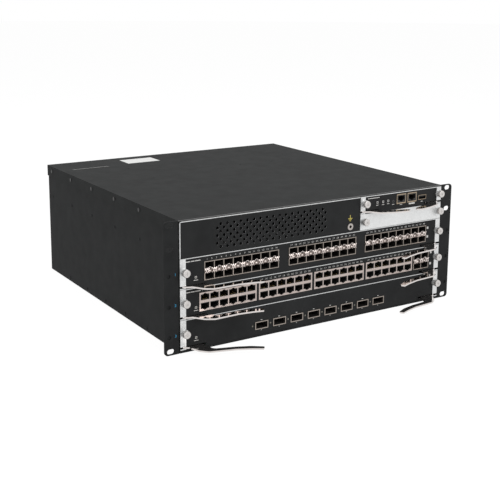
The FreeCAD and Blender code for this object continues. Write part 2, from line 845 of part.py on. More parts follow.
def fan_tray_frame():
    """Rear panel of the fan tray with its grilles and handles, and the sheet that carries the fans."""
    back = chassis_depth + fan_panel_sheet
    fan_floor = fan_middle_z - fan_size / 2
    floor_half = half_inner - fan_opening_border - fan_floor_gap
    plug_front = chassis_depth - fan_tray_reach - fan_plug_reach
    pieces = [slab(-fan_panel_half, fan_panel_half, chassis_depth, back, fan_panel_low, fan_panel_high),
              slab(-floor_half, floor_half, chassis_depth - fan_tray_reach, chassis_depth,
                   fan_floor - tray_sheet, fan_floor),
              slab(-fan_plug_half, fan_plug_half, plug_front, plug_front + fan_plug_length,
                   fan_floor - tray_sheet, fan_floor + fan_plug_height)]
    for x in (-fan_spacing / 2, fan_spacing / 2):
        pieces += grip(x, fan_middle_z - fan_handle_half, fan_middle_z + fan_handle_half, back)
    for side in (-1, 1):
        pieces.append(rod(side * tray_screw_x, fan_middle_z, collar_radius, back - fan_panel_sheet / 2,
                          back + collar_length))
    frame = joined(pieces)
    tools = []
    for x in fan_places:
        tools += grille_tools(x, fan_middle_z, fan_bore, chassis_depth - 0.5, back + 1)
    for side in (-1, 1):
        tools.append(rod(side * tray_screw_x, fan_middle_z, screw_shank_radius + screw_hole_clearance,
                         chassis_depth - 1, back + collar_length + 1))
    return frame.cut(tools)


def fan_housing(x):
    """Square frame with a round duct, a motor plate on four struts and the shaft."""
    front = chassis_depth - fan_depth
    half = fan_size / 2
    low = fan_middle_z - half
    frame = slab(x - half, x + half, front, chassis_depth, low, low + fan_size)
    duct = rod(x, fan_middle_z, fan_bore, front - 1, chassis_depth + 1)
    back = front + fan_plate_sheet
    plate = rod(x, fan_middle_z, fan_hub_radius, front, back)
    shaft = rod(x, fan_middle_z, fan_shaft_radius, back, chassis_depth - fan_shaft_inset)
    bars = [slab(x - half + 1, x + half - 1, front, back, fan_middle_z - fan_strut_half,
                 fan_middle_z + fan_strut_half),
            slab(x - fan_strut_half, x + fan_strut_half, front, back, low + 1, low + fan_size - 1)]
    return joined([frame.cut(duct), plate, shaft] + bars)


def fan_rotor(x):
    """Hub with pitched blades, bored for the shaft."""
    front = chassis_depth - fan_depth + fan_plate_sheet + rotor_front_gap
    back = chassis_depth - rotor_back_gap
    length = back - front
    tip = fan_bore - fan_tip_gap
    pieces = [rod(x, fan_middle_z, fan_hub_radius, front, back)]
    middle = Vector(x, front_plane + (front + back) / 2, fan_middle_z)
    ring = rod(x, fan_middle_z, tip, front, back)
    chord = length * blade_overlap_share
    for index in range(fan_blades):
        blade = Part.makeBox(fan_blade_sheet, chord, tip, Vector(-fan_blade_sheet / 2, -chord / 2, 0))
        blade.rotate(Vector(0, 0, 0), Vector(0, 0, 1), fan_blade_angle)
        blade.rotate(Vector(0, 0, 0), Vector(0, 1, 0), 360 / fan_blades * index)
        blade.translate(middle)
        pieces.append(blade.common(ring))
    bore = rod(x, fan_middle_z, fan_shaft_radius + fan_shaft_clearance, front - 1,
               chassis_depth - fan_shaft_inset + fan_shaft_clearance)
    return joined(pieces).cut(bore)


def rear_thumbscrew(x, z):
    """Captive screw of the fan tray, facing back."""
    return captive_screw(x, z, chassis_depth + fan_panel_sheet + collar_length + collar_gap, 1,
                         chassis_depth - screw_shank_length)


supply_bottom = shelf_top
latch_pivot_depth = supply_rear + latch_pivot_reach


def latch_x(number):
    """Middle of the latch: near the supply's right edge."""
    return supply_left(number) + supply_width - latch_inset


def supply_case(number):
    """Power supply box, open at its inner end, with inlet, grille, handle and latch lugs at the back."""
    left = supply_left(number)
    right = left + supply_width
    front = supply_rear - supply_length
    top = supply_bottom + supply_height
    middle_z = (supply_bottom + top) / 2
    outer = slab(left, right, front, supply_rear, supply_bottom, top)
    hollow = slab(left + supply_wall, right - supply_wall, front - 1, supply_rear - supply_wall,
                  supply_bottom + supply_wall, top - supply_wall)
    case = outer.cut(hollow)
    inlet_left = left + inlet_x
    inlet_low = middle_z - inlet_height / 2
    inlet = slab(inlet_left - inlet_wall, inlet_left + inlet_width + inlet_wall,
                 supply_rear - supply_wall - inlet_depth - inlet_wall, supply_rear - supply_wall / 2,
                 inlet_low - inlet_wall, inlet_low + inlet_height + inlet_wall)
    lugs = []
    x = latch_x(number)
    reach = latch_height / 2 + latch_end_gap
    for z0 in (middle_z - reach - latch_lug_sheet, middle_z + reach):
        lugs.append(slab(x - latch_lug_half, x + latch_lug_half, supply_rear - supply_wall / 2,
                         supply_rear + latch_lug_reach, z0, z0 + latch_lug_sheet))
    pin = post(x, latch_pivot_depth, latch_pin_radius, middle_z - reach - 1, middle_z + reach + 1)
    handle = grip(left + supply_width * supply_handle_share, supply_bottom + supply_handle_margin,
                  top - supply_handle_margin, supply_rear)
    body = joined([case, inlet, pin] + lugs + handle)
    tools = [slab(inlet_left, inlet_left + inlet_width, supply_rear - supply_wall - inlet_depth,
                  supply_rear + 1, inlet_low, inlet_low + inlet_height)]
    tools += grille_tools(left + supply_width * supply_grille_share, middle_z,
                          supply_height * supply_grille_height_share,
                          supply_rear - supply_wall - 1, supply_rear + 1)
    body = body.cut(tools)
    blades = []
    for blade_x, blade_z in blade_places:
        centre_x = inlet_left + inlet_width / 2 + blade_x
        blades.append(slab(centre_x - blade_half_width, centre_x + blade_half_width,
                           supply_rear - supply_wall - inlet_depth - inlet_wall / 2,
                           supply_rear - blade_setback, middle_z + blade_z - blade_half_height,
                           middle_z + blade_z + blade_half_height))
    return joined([body] + blades)


def supply_latch(number):
    """Thumb latch that turns between its two lugs."""
    x = latch_x(number)
    middle_z = supply_bottom + supply_height / 2
    low = middle_z - latch_height / 2
    high = middle_z + latch_height / 2
    front = supply_rear + latch_setback
    back = front + latch_length
    body = slab(x - latch_width / 2, x + latch_width / 2, front, back, low, high)
    boss = post(x, latch_pivot_depth, latch_pin_radius + latch_boss_wall, low, high)
    pad = slab(x - latch_pad_reach, x + latch_width / 2, back - latch_lug_sheet, back, low, high)
    hole = post(x, latch_pivot_depth, latch_pin_radius + latch_pin_clearance, middle_z - latch_height,
                middle_z + latch_height)
    return joined([body, boss, pad]).cut(hole)


def power_board():
    """Board on the shelf that the power supplies plug into."""
    rear = supply_rear - supply_length - connector_gap
    front = rear - power_board_sheet - power_socket_length
    pieces = [slab(-half_inner + power_board_margin, divider_left - power_board_margin, front,
                   front + power_board_sheet, shelf_top, cover_under - power_board_drop)]
    for number in (1, 2):
        middle = supply_left(number) + supply_width / 2
        low = shelf_top + power_socket_lift
        pieces.append(slab(middle - power_socket_half, middle + power_socket_half,
                           front + power_board_sheet, rear, low, low + power_socket_height))
    return joined(pieces)


def case_screws():
    """Heads of the screws that hold the lid's flanges and the ears."""
    cover_z = chassis_height - cover_screw_rise
    cover_depths = [cover_screw_first + index * cover_screw_pitch for index in range(cover_screw_count)]
    ear_step = (ear_leg_top - ear_foot) / ear_screw_count
    ear_heights = spread(ear_screw_count, (ear_leg_top + ear_foot) / 2, ear_step)
    heads = []
    for side in (-1, 1):
        places = [(half_body + cover_sheet, depth, cover_z) for depth in cover_depths]
        places += [(half_body + ear_sheet, ear_screw_depth, z) for z in ear_heights]
        for x, depth, z in places:
            heads.append(Part.makeCylinder(case_screw_radius, case_screw_head,
                                           Vector(side * x, front_plane + depth, z), Vector(side, 0, 0)))
    return group(heads)


def line_ports(number):
    """Sockets of a line card as groups of separate solids, by node name."""
    base = card_bottom(number) + board_top
    name = "line_card_%d_" % number
    if number == 1:
        places = spread(sfp_block_count, sfp_middle_x, sfp_block_pitch)
        return {name + "module_cages": [cage_block(x, base, sfp_columns) for x in places]}
    if number == 2:
        places = spread(jack_block_count, jack_middle_x, jack_block_pitch)
        blocks = [jack_block(x, base) for x in places]
        uplinks = [cage_block(line_end - uplink_inset, base, uplink_columns)]
        return {name + "data_jacks": blocks, name + "uplink_cage": uplinks}
    places = spread(qsfp_count, qsfp_middle_x, body_width * qsfp_share)
    return {name + "uplink_cages": [qsfp_cage(x, base) for x in places]}


# Heat sinks of the line cards: their middles, side and height
line_heat_sinks = {
    1: ((-twin_sink_x, twin_sink_x), high_sink_side, high_sink_rise),
    2: ((-twin_sink_x, twin_sink_x), middle_sink_side, middle_sink_rise),
    3: ((0.0,), low_sink_side, low_sink_rise),
}


def line_card(number):
    """All pieces of one line card by node name."""
    bottom = card_bottom(number)
    name = "line_card_%d_" % number
    ports = line_ports(number)
    sockets = [solid for solids in ports.values() for solid in solids]
    screw_z = bottom + line_screw_rise
    pieces = {node: group(solids) for node, solids in ports.items()}
    pieces[name + "faceplate"] = faceplate(-line_end, line_end, bottom, bottom + card_height, screw_z,
                                           lever_slot_reach, [cutout(socket) for socket in sockets])
    pieces[name + "tray"] = card_tray(-half_inner, half_inner, -line_end, line_end, bottom)
    pieces[name + "board"] = card_board(-half_inner, half_inner, bottom, *line_heat_sinks[number])
    left_angle, right_angle = lever_rest_angles[number]
    pieces[name + "left_lever"] = lever(-line_end, 1, bottom, line_arm, left_angle)
    pieces[name + "right_lever"] = lever(line_end, -1, bottom, line_arm, right_angle)
    pieces[name + "left_thumbscrew"] = thumbscrew(-line_end + screw_inset, screw_z)
    pieces[name + "right_thumbscrew"] = thumbscrew(line_end - screw_inset, screw_z)
    return pieces


def single_jack(x, base):
    """One data socket with its latch side down."""
    body = slab(x - single_jack_width / 2, x + single_jack_width / 2, port_front, single_jack_depth, base,
                base + single_jack_height)
    opening = jack_opening_height + jack_latch_height + jack_key_height
    return body.cut(jack_opening(x, base + (single_jack_height + opening) / 2, -1, port_front - 1,
                                 single_jack_pocket))


def usb_socket(x, base):
    """Flat socket with its tongue."""
    wall = usb_wall
    body = slab(x - usb_width / 2, x + usb_width / 2, port_front, usb_depth, base, base + usb_height)
    floor = usb_depth - pocket_floor
    hollow = slab(x - usb_width / 2 + wall, x + usb_width / 2 - wall, port_front - 1, floor, base + wall,
                  base + usb_height - wall)
    tongue_top = base + usb_height - wall - usb_tongue_top
    tongue = slab(x - usb_width / 2 + usb_tongue_inset, x + usb_width / 2 - usb_tongue_inset,
                  port_front + usb_tongue_setback, floor + 1, tongue_top - usb_tongue_sheet, tongue_top)
    return joined([body.cut(hollow), tongue])


def management_card():
    """All pieces of the management card by node name."""
    name = "management_card_"
    bottom = management_bottom
    base = bottom + board_top
    usb_base = base + usb_lift
    usb_x = line_end - usb_inset
    sockets = [single_jack(line_end - console_inset, base), single_jack(line_end - network_inset, base),
               usb_socket(usb_x, usb_base)]
    usb_block = slab(usb_x - usb_width / 2, usb_x + usb_width / 2, board_front, usb_depth, base, usb_base)
    board = card_board(divider_right, half_inner, bottom, (management_middle,), management_sink_side,
                       management_sink_rise)
    left = management_left
    return {
        name + "faceplate": faceplate(left, line_end, bottom, upper_top, management_screw_z,
                                      management_slot_reach, [cutout(socket) for socket in sockets]),
        name + "tray": card_tray(divider_right, half_inner, left, line_end, bottom),
        name + "board": joined([board, usb_block]),
        name + "sockets": group(sockets),
        name + "left_lever": lever(left, 1, bottom, management_arm, 0),
        name + "right_lever": lever(line_end, -1, bottom, management_arm, 0),
        name + "left_thumbscrew": thumbscrew(left + screw_inset, management_screw_z),
        name + "right_thumbscrew": thumbscrew(line_end - screw_inset, management_screw_z),
    }


def filler():
    """Blank panel of the empty slot and its two screws."""
    left = management_left
    return {
        "filler_panel": faceplate(left, line_end, stack_top, filler_top, filler_screw_z, 0, []),
        "filler_left_thumbscrew": thumbscrew(left + screw_inset, filler_screw_z),
        "filler_right_thumbscrew": thumbscrew(line_end - screw_inset, filler_screw_z),
    }


nodes = {
    "chassis_shell": chassis_shell(),
    "top_cover": top_cover(),
    "left_rack_ear": rack_ear(-1),
    "right_rack_ear": rack_ear(1),
    "case_screws": case_screws(),
    "shelf": shelf(),
    "bay_divider": bay_divider(),
    "card_guides": card_guides(),
    "backplane": backplane(),
    "power_board": power_board(),
    "rear_panel": rear_panel(),
    "intake_panel": intake_panel(),
    "earth_jack": earth_jack(),
    "fan_tray_frame": fan_tray_frame(),
    "fan_housings": group([fan_housing(x) for x in fan_places]),
    "fan_tray_left_thumbscrew": rear_thumbscrew(-tray_screw_x, fan_middle_z),
    "fan_tray_right_thumbscrew": rear_thumbscrew(tray_screw_x, fan_middle_z),
}
for card_number in range(1, card_count + 1):
    nodes.update(line_card(card_number))
nodes.update(management_card())
nodes.update(filler())
for fan_number, fan_x in enumerate(fan_places):
    nodes["fan_rotor_%d" % (fan_number + 1)] = fan_rotor(fan_x)
for supply_number in (1, 2):
    nodes["power_supply_%d_case" % supply_number] = supply_case(supply_number)
    nodes["power_supply_%d_latch" % supply_number] = supply_latch(supply_number)

for node_name, shape in nodes.items():
    shape.exportStep("parts/%s.step" % node_name)
print(len(nodes), "nodes written")
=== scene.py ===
# %% [markdown]
# # A rack chassis for network cards
#
# The object is a steel box, four rack units high, with three wide cards, a management card and a blank
# panel in its front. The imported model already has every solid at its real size. This script gives each
# one a finish, adds the small things that a maker prints, presses or crimps on, and sets up the light
# and the camera. Everything is in metres. X runs to the right seen from the front, Y to the back and Z up.

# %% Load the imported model
import math

import bmesh
import bpy
from mathutils import Matrix, Vector


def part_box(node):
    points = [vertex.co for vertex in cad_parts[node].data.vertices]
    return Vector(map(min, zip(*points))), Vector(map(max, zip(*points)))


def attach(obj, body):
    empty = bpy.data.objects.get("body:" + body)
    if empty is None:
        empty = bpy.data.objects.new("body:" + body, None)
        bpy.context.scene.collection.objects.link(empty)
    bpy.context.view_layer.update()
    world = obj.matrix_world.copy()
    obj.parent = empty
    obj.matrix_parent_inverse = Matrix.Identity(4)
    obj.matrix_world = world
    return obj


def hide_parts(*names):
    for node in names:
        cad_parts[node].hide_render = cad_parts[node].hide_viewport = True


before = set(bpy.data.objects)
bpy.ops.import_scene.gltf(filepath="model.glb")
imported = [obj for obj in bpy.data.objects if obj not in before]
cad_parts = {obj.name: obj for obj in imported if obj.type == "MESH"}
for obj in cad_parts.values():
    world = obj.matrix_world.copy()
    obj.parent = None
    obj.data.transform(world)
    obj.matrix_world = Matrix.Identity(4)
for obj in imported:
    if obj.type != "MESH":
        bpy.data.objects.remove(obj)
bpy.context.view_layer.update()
mm = 0.001
print("nodes in the frame:", len(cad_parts))

# %% [markdown]
# ## Places that the rest is worked out from
#
# A piece goes where the solids say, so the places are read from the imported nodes. The front plane is the
# front face of the rack ears, and every faceplate stands a little in front of it.

# %% Read the main planes from the solids
LINE_CARDS = ("line_card_1", "line_card_2", "line_card_3")
CARDS = LINE_CARDS + ("management_card",)


def face_box(card):
    """Lowest and highest corner of a card's faceplate."""
    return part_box(card + "_faceplate")


front_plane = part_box("left_rack_ear")[0].y
TRAY_GAP = 0.2 * mm
card_floor = {card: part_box(card + "_tray")[0].z - TRAY_GAP for card in CARDS}
card_top = {card: face_box(card)[1].z for card in CARDS}
panel_low, panel_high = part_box("intake_panel")
plate_face = panel_low.y
cover_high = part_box("top_cover")[1]
print("front plane at y = %.1f mm" % (front_plane / mm))

# %% [markdown]
# ## The camera
#
# The photograph was taken from the left and a little above with a long lens. The picture's middle is not
# where the lens points: the frame was shifted, so that upright edges stay nearly parallel. A shift on the
# camera does the same, and it keeps the lens level.

# %% Place the camera
CAMERA_PLACE = Vector((-0.77546, -1.27097, 0.46129))
CAMERA_YAW = math.radians(32.271)
CAMERA_PITCH = math.radians(11.207)
CAMERA_ROLL = math.radians(0.344)
LENS_LENGTH = 70.196
FRAME_SHIFT = -0.14

camera_data = bpy.data.cameras.new("camera")
camera_data.lens = LENS_LENGTH
camera_data.sensor_width = 36
camera_data.shift_y = FRAME_SHIFT
camera_data.clip_start = 0.05
camera_data.clip_end = 50
camera = bpy.data.objects.new("camera", camera_data)
turn = Matrix.Rotation(-CAMERA_YAW, 4, "Z") @ Matrix.Rotation(math.pi / 2 - CAMERA_PITCH, 4, "X")
camera.matrix_world = Matrix.Translation(CAMERA_PLACE) @ turn @ Matrix.Rotation(CAMERA_ROLL, 4, "Z")
bpy.context.scene.collection.objects.link(camera)
bpy.context.scene.camera = camera
bpy.context.scene.view_settings.view_transform = "Standard"
print("camera at", tuple(round(v, 3) for v in CAMERA_PLACE))

# %% [markdown]
# ## Shader maths as Python
#
# A material is a graph of nodes, but a mask such as "black between the two bare ends" is one line of
# arithmetic. A small class wraps a node's output, and its operators add Math nodes. All other nodes come
# from one method that takes the node's type, its settings and the values of its sockets.


# %% Wrap a socket, and build materials from expressions
class Wire:
    """An output of a shader node that can be used in arithmetic."""

    def __init__(self, paint, socket):
        self.paint = paint
        self.socket = socket

    def math(self, operation, *values):
        return self.paint.node("Math", {"operation": operation}, dict(enumerate(values)))

    def __add__(self, other):
        return self.math("ADD", self, other)

    __radd__ = __add__

    def __sub__(self, other):
        return self.math("SUBTRACT", self, other)

    def __rsub__(self, other):
        return self.math("SUBTRACT", other, self)

    def __mul__(self, other):
        return self.math("MULTIPLY", self, other)

    __rmul__ = __mul__

    def __abs__(self):
        return self.math("ABSOLUTE", self)

    def most(self, other):
        return self.math("MAXIMUM", self, other)

    def wrap(self, low, high):
        return self.math("WRAP", self, high, low)


class Paint:
    """A material whose Principled shader is fed by expressions."""

    def __init__(self, name, **fixed):
        self.material = bpy.data.materials.new(name)
        self.material.use_nodes = True
        self.tree = self.material.node_tree
        self.tree.nodes.clear()
        self.shader = self.tree.nodes.new("ShaderNodeBsdfPrincipled")
        self.output = self.tree.nodes.new("ShaderNodeOutputMaterial")
        self.tree.links.new(self.shader.outputs[0], self.output.inputs["Surface"])
        place = self.node("TexCoord", {}, {}, "Object")
        self.place = place
        self.x = self.node("SeparateXYZ", {}, {0: place}, "X")
        self.y = self.node("SeparateXYZ", {}, {0: place}, "Y")
        self.z = self.node("SeparateXYZ", {}, {0: place}, "Z")
        for socket, value in fixed.items():
            self.feed(socket, value)

    def node(self, kind, settings, sockets, output=0):
        """One shader node: settings first, then the values or links of its sockets."""
        made = self.tree.nodes.new("ShaderNode" + kind)
        for setting, value in settings.items():
            if setting == "stops":
                self.set_stops(made.color_ramp, value)
            else:
                setattr(made, setting, value)
        for socket, value in sockets.items():
            self.fill(made.inputs[socket], value)
        return Wire(self, made.outputs[output])

    def set_stops(self, ramp, stops):
        while len(ramp.elements) > len(stops):
            ramp.elements.remove(ramp.elements[-1])
        for index, (place, colour) in enumerate(stops):
            if index == len(ramp.elements):
                ramp.elements.new(place)
            ramp.elements[index].position = place
            ramp.elements[index].color = (*colour, 1)

    def fill(self, socket, value):
        if isinstance(value, Wire):
            self.tree.links.new(value.socket, socket)
        elif isinstance(value, tuple) and len(value) == 3 and len(socket.default_value) == 4:
            socket.default_value = (*value, 1)
        else:
            socket.default_value = value

    def feed(self, socket, value):
        """Sets or links a socket of the Principled shader, named with underscores for spaces."""
        self.fill(self.shader.inputs[socket.replace("_", " ")], value)

    def step(self, value, edge, soft=0.0001):
        """0 below the edge and 1 above it, with a soft change over twice the given distance."""
        return self.node("MapRange", {"interpolation_type": "SMOOTHSTEP"},
                         {"Value": value, "From Min": edge - soft, "From Max": edge + soft})

    def between(self, value, low, high, soft=0.0001):
        """1 from low to high."""
        return self.step(value, low, soft) * (1 - self.step(value, high, soft))

    def inside(self, low, high):
        """1 inside a box."""
        parts = [self.between(axis, a, b) for axis, a, b in zip((self.x, self.y, self.z), low, high)]
        return parts[0] * parts[1] * parts[2]

    def noise(self, scale, detail=2.0, rough=0.5, stretch=(1, 1, 1)):
        """Soft random values around 0.5; scale is in grains per metre."""
        place = self.node("Mapping", {}, {"Vector": self.place, "Scale": stretch})
        return self.node("TexNoise", {},
                         {"Vector": place, "Scale": scale, "Detail": detail, "Roughness": rough})

    def flakes(self, scale, stretch=(1, 1, 1)):
        """One random value for each grain of a broken-up surface."""
        place = self.node("Mapping", {}, {"Vector": self.place, "Scale": stretch})
        colour = self.node("TexVoronoi", {}, {"Vector": place, "Scale": scale}, "Color")
        return self.node("SeparateColor", {}, {0: colour}, "Red")

    def ramp(self, value, *stops):
        """A colour for each value."""
        return self.node("ValToRGB", {"stops": stops}, {0: value})

    def mix(self, share, first, second):
        """Two colours in shares of a mask."""
        return self.node("Mix", {"data_type": "RGBA"}, {0: share, 6: first, 7: second}, 2)

    def bump(self, height, distance, strength=1.0):
        """Feeds the shader's normal from a height between 0 and 1."""
        made = self.node("Bump", {}, {"Height": height, "Distance": distance, "Strength": strength})
        self.feed("Normal", made)


print("shader classes ready")

# %% [markdown]
# ## The studio
#
# The photograph has a pure white ground with hardly a shadow. The floor and the world are white to the
# camera and in reflections, and give only soft light to the object. Three large lamps do the rest: one
# above, which makes the lid the lightest black, one before the front, and a weak one on the left.


# %% Build the floor
def disc(name, radius, z):
    """A round flat stage piece."""
    mesh = bpy.data.meshes.new(name)
    shape = bmesh.new()
    bmesh.ops.create_circle(shape, cap_ends=True, segments=96, radius=radius)
    bmesh.ops.translate(shape, verts=shape.verts, vec=(0, 0, z))
    shape.to_mesh(mesh)
    shape.free()
    made = bpy.data.objects.new(name, mesh)
    bpy.context.scene.collection.objects.link(made)
    return made


FLOOR_RADIUS = 12.0
floor = disc("floor", FLOOR_RADIUS, -0.2 * mm)

floor_paint = Paint("white_floor", Base_Color=(0.8, 0.8, 0.8), Roughness=0.9)
seen_paint = floor_paint.node("BsdfDiffuse", {}, {"Color": (0.13, 0.13, 0.13)})
glow = floor_paint.node("Emission", {}, {"Color": (1.0, 1.0, 1.0), "Strength": 0.93})
seen = floor_paint.node("AddShader", {}, {0: seen_paint, 1: glow})
camera_ray = floor_paint.node("LightPath", {}, {}, "Is Camera Ray")
glossy_ray = floor_paint.node("LightPath", {}, {}, "Is Glossy Ray")
through_ray = floor_paint.node("LightPath", {}, {}, "Is Transmission Ray")
direct = camera_ray.most(glossy_ray).most(through_ray)
lit = Wire(floor_paint, floor_paint.shader.outputs[0])
floor_look = floor_paint.node("MixShader", {}, {0: direct, 1: lit, 2: seen})
floor_paint.tree.links.new(floor_look.socket, floor_paint.output.inputs["Surface"])
floor.data.materials.append(floor_paint.material)
print("floor radius", FLOOR_RADIUS)

# %% Light the world and hang the lamps
AMBIENT = 0.42
world = bpy.data.worlds.new("studio")
world.use_nodes = True
bpy.context.scene.world = world
sky = world.node_tree
sky.nodes.clear()
soft_light = sky.nodes.new("ShaderNodeBackground")
soft_light.inputs["Strength"].default_value = AMBIENT
white_wall = sky.nodes.new("ShaderNodeBackground")
white_wall.inputs["Strength"].default_value = 1.0
for background in (soft_light, white_wall):
    background.inputs["Color"].default_value = (1, 1, 1, 1)
rays = sky.nodes.new("ShaderNodeLightPath")
direct_rays = rays.outputs["Is Camera Ray"]
for kind in ("Is Glossy Ray", "Is Transmission Ray"):
    larger = sky.nodes.new("ShaderNodeMath")
    larger.operation = "MAXIMUM"
    sky.links.new(direct_rays, larger.inputs[0])
    sky.links.new(rays.outputs[kind], larger.inputs[1])
    direct_rays = larger.outputs[0]
wall_or_light = sky.nodes.new("ShaderNodeMixShader")
sky_output = sky.nodes.new("ShaderNodeOutputWorld")
sky.links.new(direct_rays, wall_or_light.inputs[0])
sky.links.new(soft_light.outputs[0], wall_or_light.inputs[1])
sky.links.new(white_wall.outputs[0], wall_or_light.inputs[2])
sky.links.new(wall_or_light.outputs[0], sky_output.inputs[0])


def lamp(name, place, target, size, power):
    """A square soft box that points at a target."""
    data = bpy.data.lights.new(name, "AREA")
    data.shape = "SQUARE"
    data.size = size
    data.energy = power
    made = bpy.data.objects.new(name, data)
    made.location = place
    made.rotation_mode = "QUATERNION"
    made.rotation_quaternion = (Vector(target) - Vector(place)).to_track_quat("-Z", "Y")
    bpy.context.scene.collection.objects.link(made)
    return made


OBJECT_MIDDLE = (0.0, 0.0, 0.09)
lamp("lamp_above", (-0.2, -0.3, 2.2), OBJECT_MIDDLE, 2.0, 26)
lamp("lamp_front", (0.9, -2.3, 1.2), OBJECT_MIDDLE, 1.6, 26)
lamp("lamp_left", (-2.4, -0.9, 1.0), OBJECT_MIDDLE, 1.4, 9)
print("world and lamps ready")

# %% [markdown]
# ## Finishes
#
# The box is powder coated: a matt dark grey whose fine grain only shows as a soft sparkle. The card ends,
# the trays and the blank panel are zinc plated, which is bright with small cloudy grains. The screws are
# nickel, the levers are polished steel, and the socket shields are stamped from a warmer nickel silver.

# %% Powder coat
COAT_COLOUR = (0.0160, 0.0166, 0.0170)
LID_COLOUR = (0.0180, 0.0189, 0.0189)
CARD_GLOSS = 0.12
BODY_GLOSS = 0.10
LID_GLOSS = 0.085
ZINC_COLOURS = ((0.0, (0.48, 0.485, 0.485)), (0.5, (0.61, 0.615, 0.615)), (1.0, (0.76, 0.765, 0.76)))
BRIGHT_ZINC = ((0.0, (0.57, 0.575, 0.575)), (1.0, (0.68, 0.685, 0.685)))


def coat_colour(paint, base):
    """The coat's colour with a faint cloud in it."""
    cloud = paint.noise(38.0, 3.0)
    light = tuple(1.16 * v for v in base)
    dark = tuple(0.86 * v for v in base)
    return paint.ramp(cloud, (0.3, dark), (0.7, light))


def powder_coat(name, base, gloss, painted_highlight=None):
    """Matt coat with a fine grain; the optional last argument gives a mask where a lighter grey is painted
    in as a highlight.
    """
    paint = Paint(name, Specular_IOR_Level=gloss)
    grain = paint.noise(2600.0, 2.0, 0.6)
    colour = coat_colour(paint, base)
    # Painted highlight: a lighter grey where the edge would catch the light.
    if painted_highlight:
        colour = paint.mix(painted_highlight(paint), colour, (0.15, 0.15, 0.15))
    paint.feed("Base Color", colour)
    paint.feed("Roughness", 0.65 + 0.1 * paint.noise(60.0))
    paint.bump(grain, 0.05 * mm, 0.5)
    return paint


def lid_edge_highlight(paint):
    """1 along the lid's thin front edge, where a highlight is painted into the coat."""
    front = 1 - paint.step(paint.y, front_plane + 0.7 * mm, 0.3 * mm)
    top = paint.step(paint.z, cover_high.z - 0.8 * mm, 0.2 * mm)
    return front * top


body_coat = powder_coat("powder_coat", COAT_COLOUR, BODY_GLOSS)
cover_coat = powder_coat("lid_coat", LID_COLOUR, LID_GLOSS, lid_edge_highlight)
print("powder coats:", body_coat.material.name, cover_coat.material.name)


# %% Zinc plate, nickel, polished steel and stamped shields
def zinc_colour(paint, colours=ZINC_COLOURS):
    """Small cloudy grains, lighter and darker."""
    return paint.ramp(paint.flakes(950.0) * 0.55 + paint.noise(210.0, 4.0) * 0.45, *colours)


def zinc_plate(name, rough=0.38, colours=ZINC_COLOURS):
    paint = Paint(name, Metallic=1.0)
    paint.feed("Base Color", zinc_colour(paint, colours))
    paint.feed("Roughness", rough + 0.12 * paint.noise(300.0))
    paint.bump(paint.noise(900.0, 3.0), 0.03 * mm, 0.4)
    return paint


def plain_metal(name, colour, rough, stretch=(1, 1, 1), spread=0.1, metallic=1.0):
    """Metal with a fine drawn or turned grain along the axis that is stretched least."""
    paint = Paint(name, Metallic=metallic)
    grain = paint.noise(1400.0, 3.0, 0.6, stretch)
    dark = tuple((1 - spread) * v for v in colour)
    light = tuple(min(1.0, (1 + spread) * v) for v in colour)
    paint.feed("Base Color", paint.ramp(grain, (0.3, dark), (0.7, light)))
    paint.feed("Roughness", rough + 0.1 * grain)
    return paint


zinc = zinc_plate("zinc_plate")
blank_zinc = zinc_plate("bright_zinc", 0.45, BRIGHT_ZINC)
nickel = plain_metal("satin_nickel", (0.55, 0.53, 0.515), 0.36, metallic=0.7)
dull_nickel = plain_metal("dull_nickel", (0.40, 0.37, 0.35), 0.3)
steel = plain_metal("polished_steel", (0.66, 0.62, 0.60), 0.06, (0.1, 1, 1), 0.05)
black_zinc = plain_metal("black_screw", (0.05, 0.05, 0.05), 0.4)
brass = plain_metal("gold_contact", (0.85, 0.62, 0.28), 0.2)
print("metals ready")


# %% Black and bare areas of the faceplates
END_STRIP = 8.4 * mm
TOP_LIP = 0.9 * mm
SKIN = 0.25 * mm
COLLAR_DULL = 0.6


def card_front(name, card, lip=TOP_LIP):
    """Matt black between bare zinc ends, with the bent top edge left bare."""
    low, high = face_box(card)
    paint = Paint(name, Specular_IOR_Level=CARD_GLOSS)
    middle = paint.between(paint.x, low.x + END_STRIP, high.x - END_STRIP)
    below_lip = 1 - paint.step(paint.z, high.z - lip, 0.1 * mm)
    on_face = paint.between(paint.y, plate_face - SKIN, plate_face + SKIN)
    collar = 1 - paint.step(paint.y, plate_face - SKIN)
    black = middle * below_lip * on_face
    paint.feed("Base Color", paint.mix(black, zinc_colour(paint), coat_colour(paint, COAT_COLOUR)))
    paint.feed("Metallic", 1 - black - COLLAR_DULL * collar)
    paint.feed("Roughness", 0.34 + 0.32 * black + 0.08 * paint.noise(120.0))
    paint.bump(paint.noise(2200.0, 2.0, 0.6), 0.04 * mm, 0.5)
    return paint


def intake_front(name):
    """Matt black panel with bare zinc along its cut top and left edges; these thin strips are also a
    painted highlight where the edges catch the light.
    """
    paint = Paint(name, Specular_IOR_Level=CARD_GLOSS)
    # The top and left zinc strips are bare edge and painted highlight at once.
    below_lip = 1 - paint.step(paint.z, panel_high.z - TOP_LIP, 0.1 * mm)
    beside_edge = paint.step(paint.x, panel_low.x + 1.1 * mm, 0.1 * mm)
    beside_cut = 1 - paint.between(paint.y, plate_face + 0.15 * mm, plate_face + 0.5 * mm)
    black = below_lip * beside_edge * beside_cut
    paint.feed("Base Color", paint.mix(black, zinc_colour(paint), coat_colour(paint, COAT_COLOUR)))
    paint.feed("Metallic", 0.35 - 0.35 * black)
    paint.feed("Roughness", 0.34 + 0.32 * black + 0.08 * paint.noise(120.0))
    paint.bump(paint.noise(2200.0, 2.0, 0.6), 0.04 * mm, 0.5)
    return paint


def dress(paint, *nodes):
    """Gives CAD nodes a finish."""
    for node in nodes:
        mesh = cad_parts[node].data
        mesh.materials.clear()
        mesh.materials.append(paint.material)


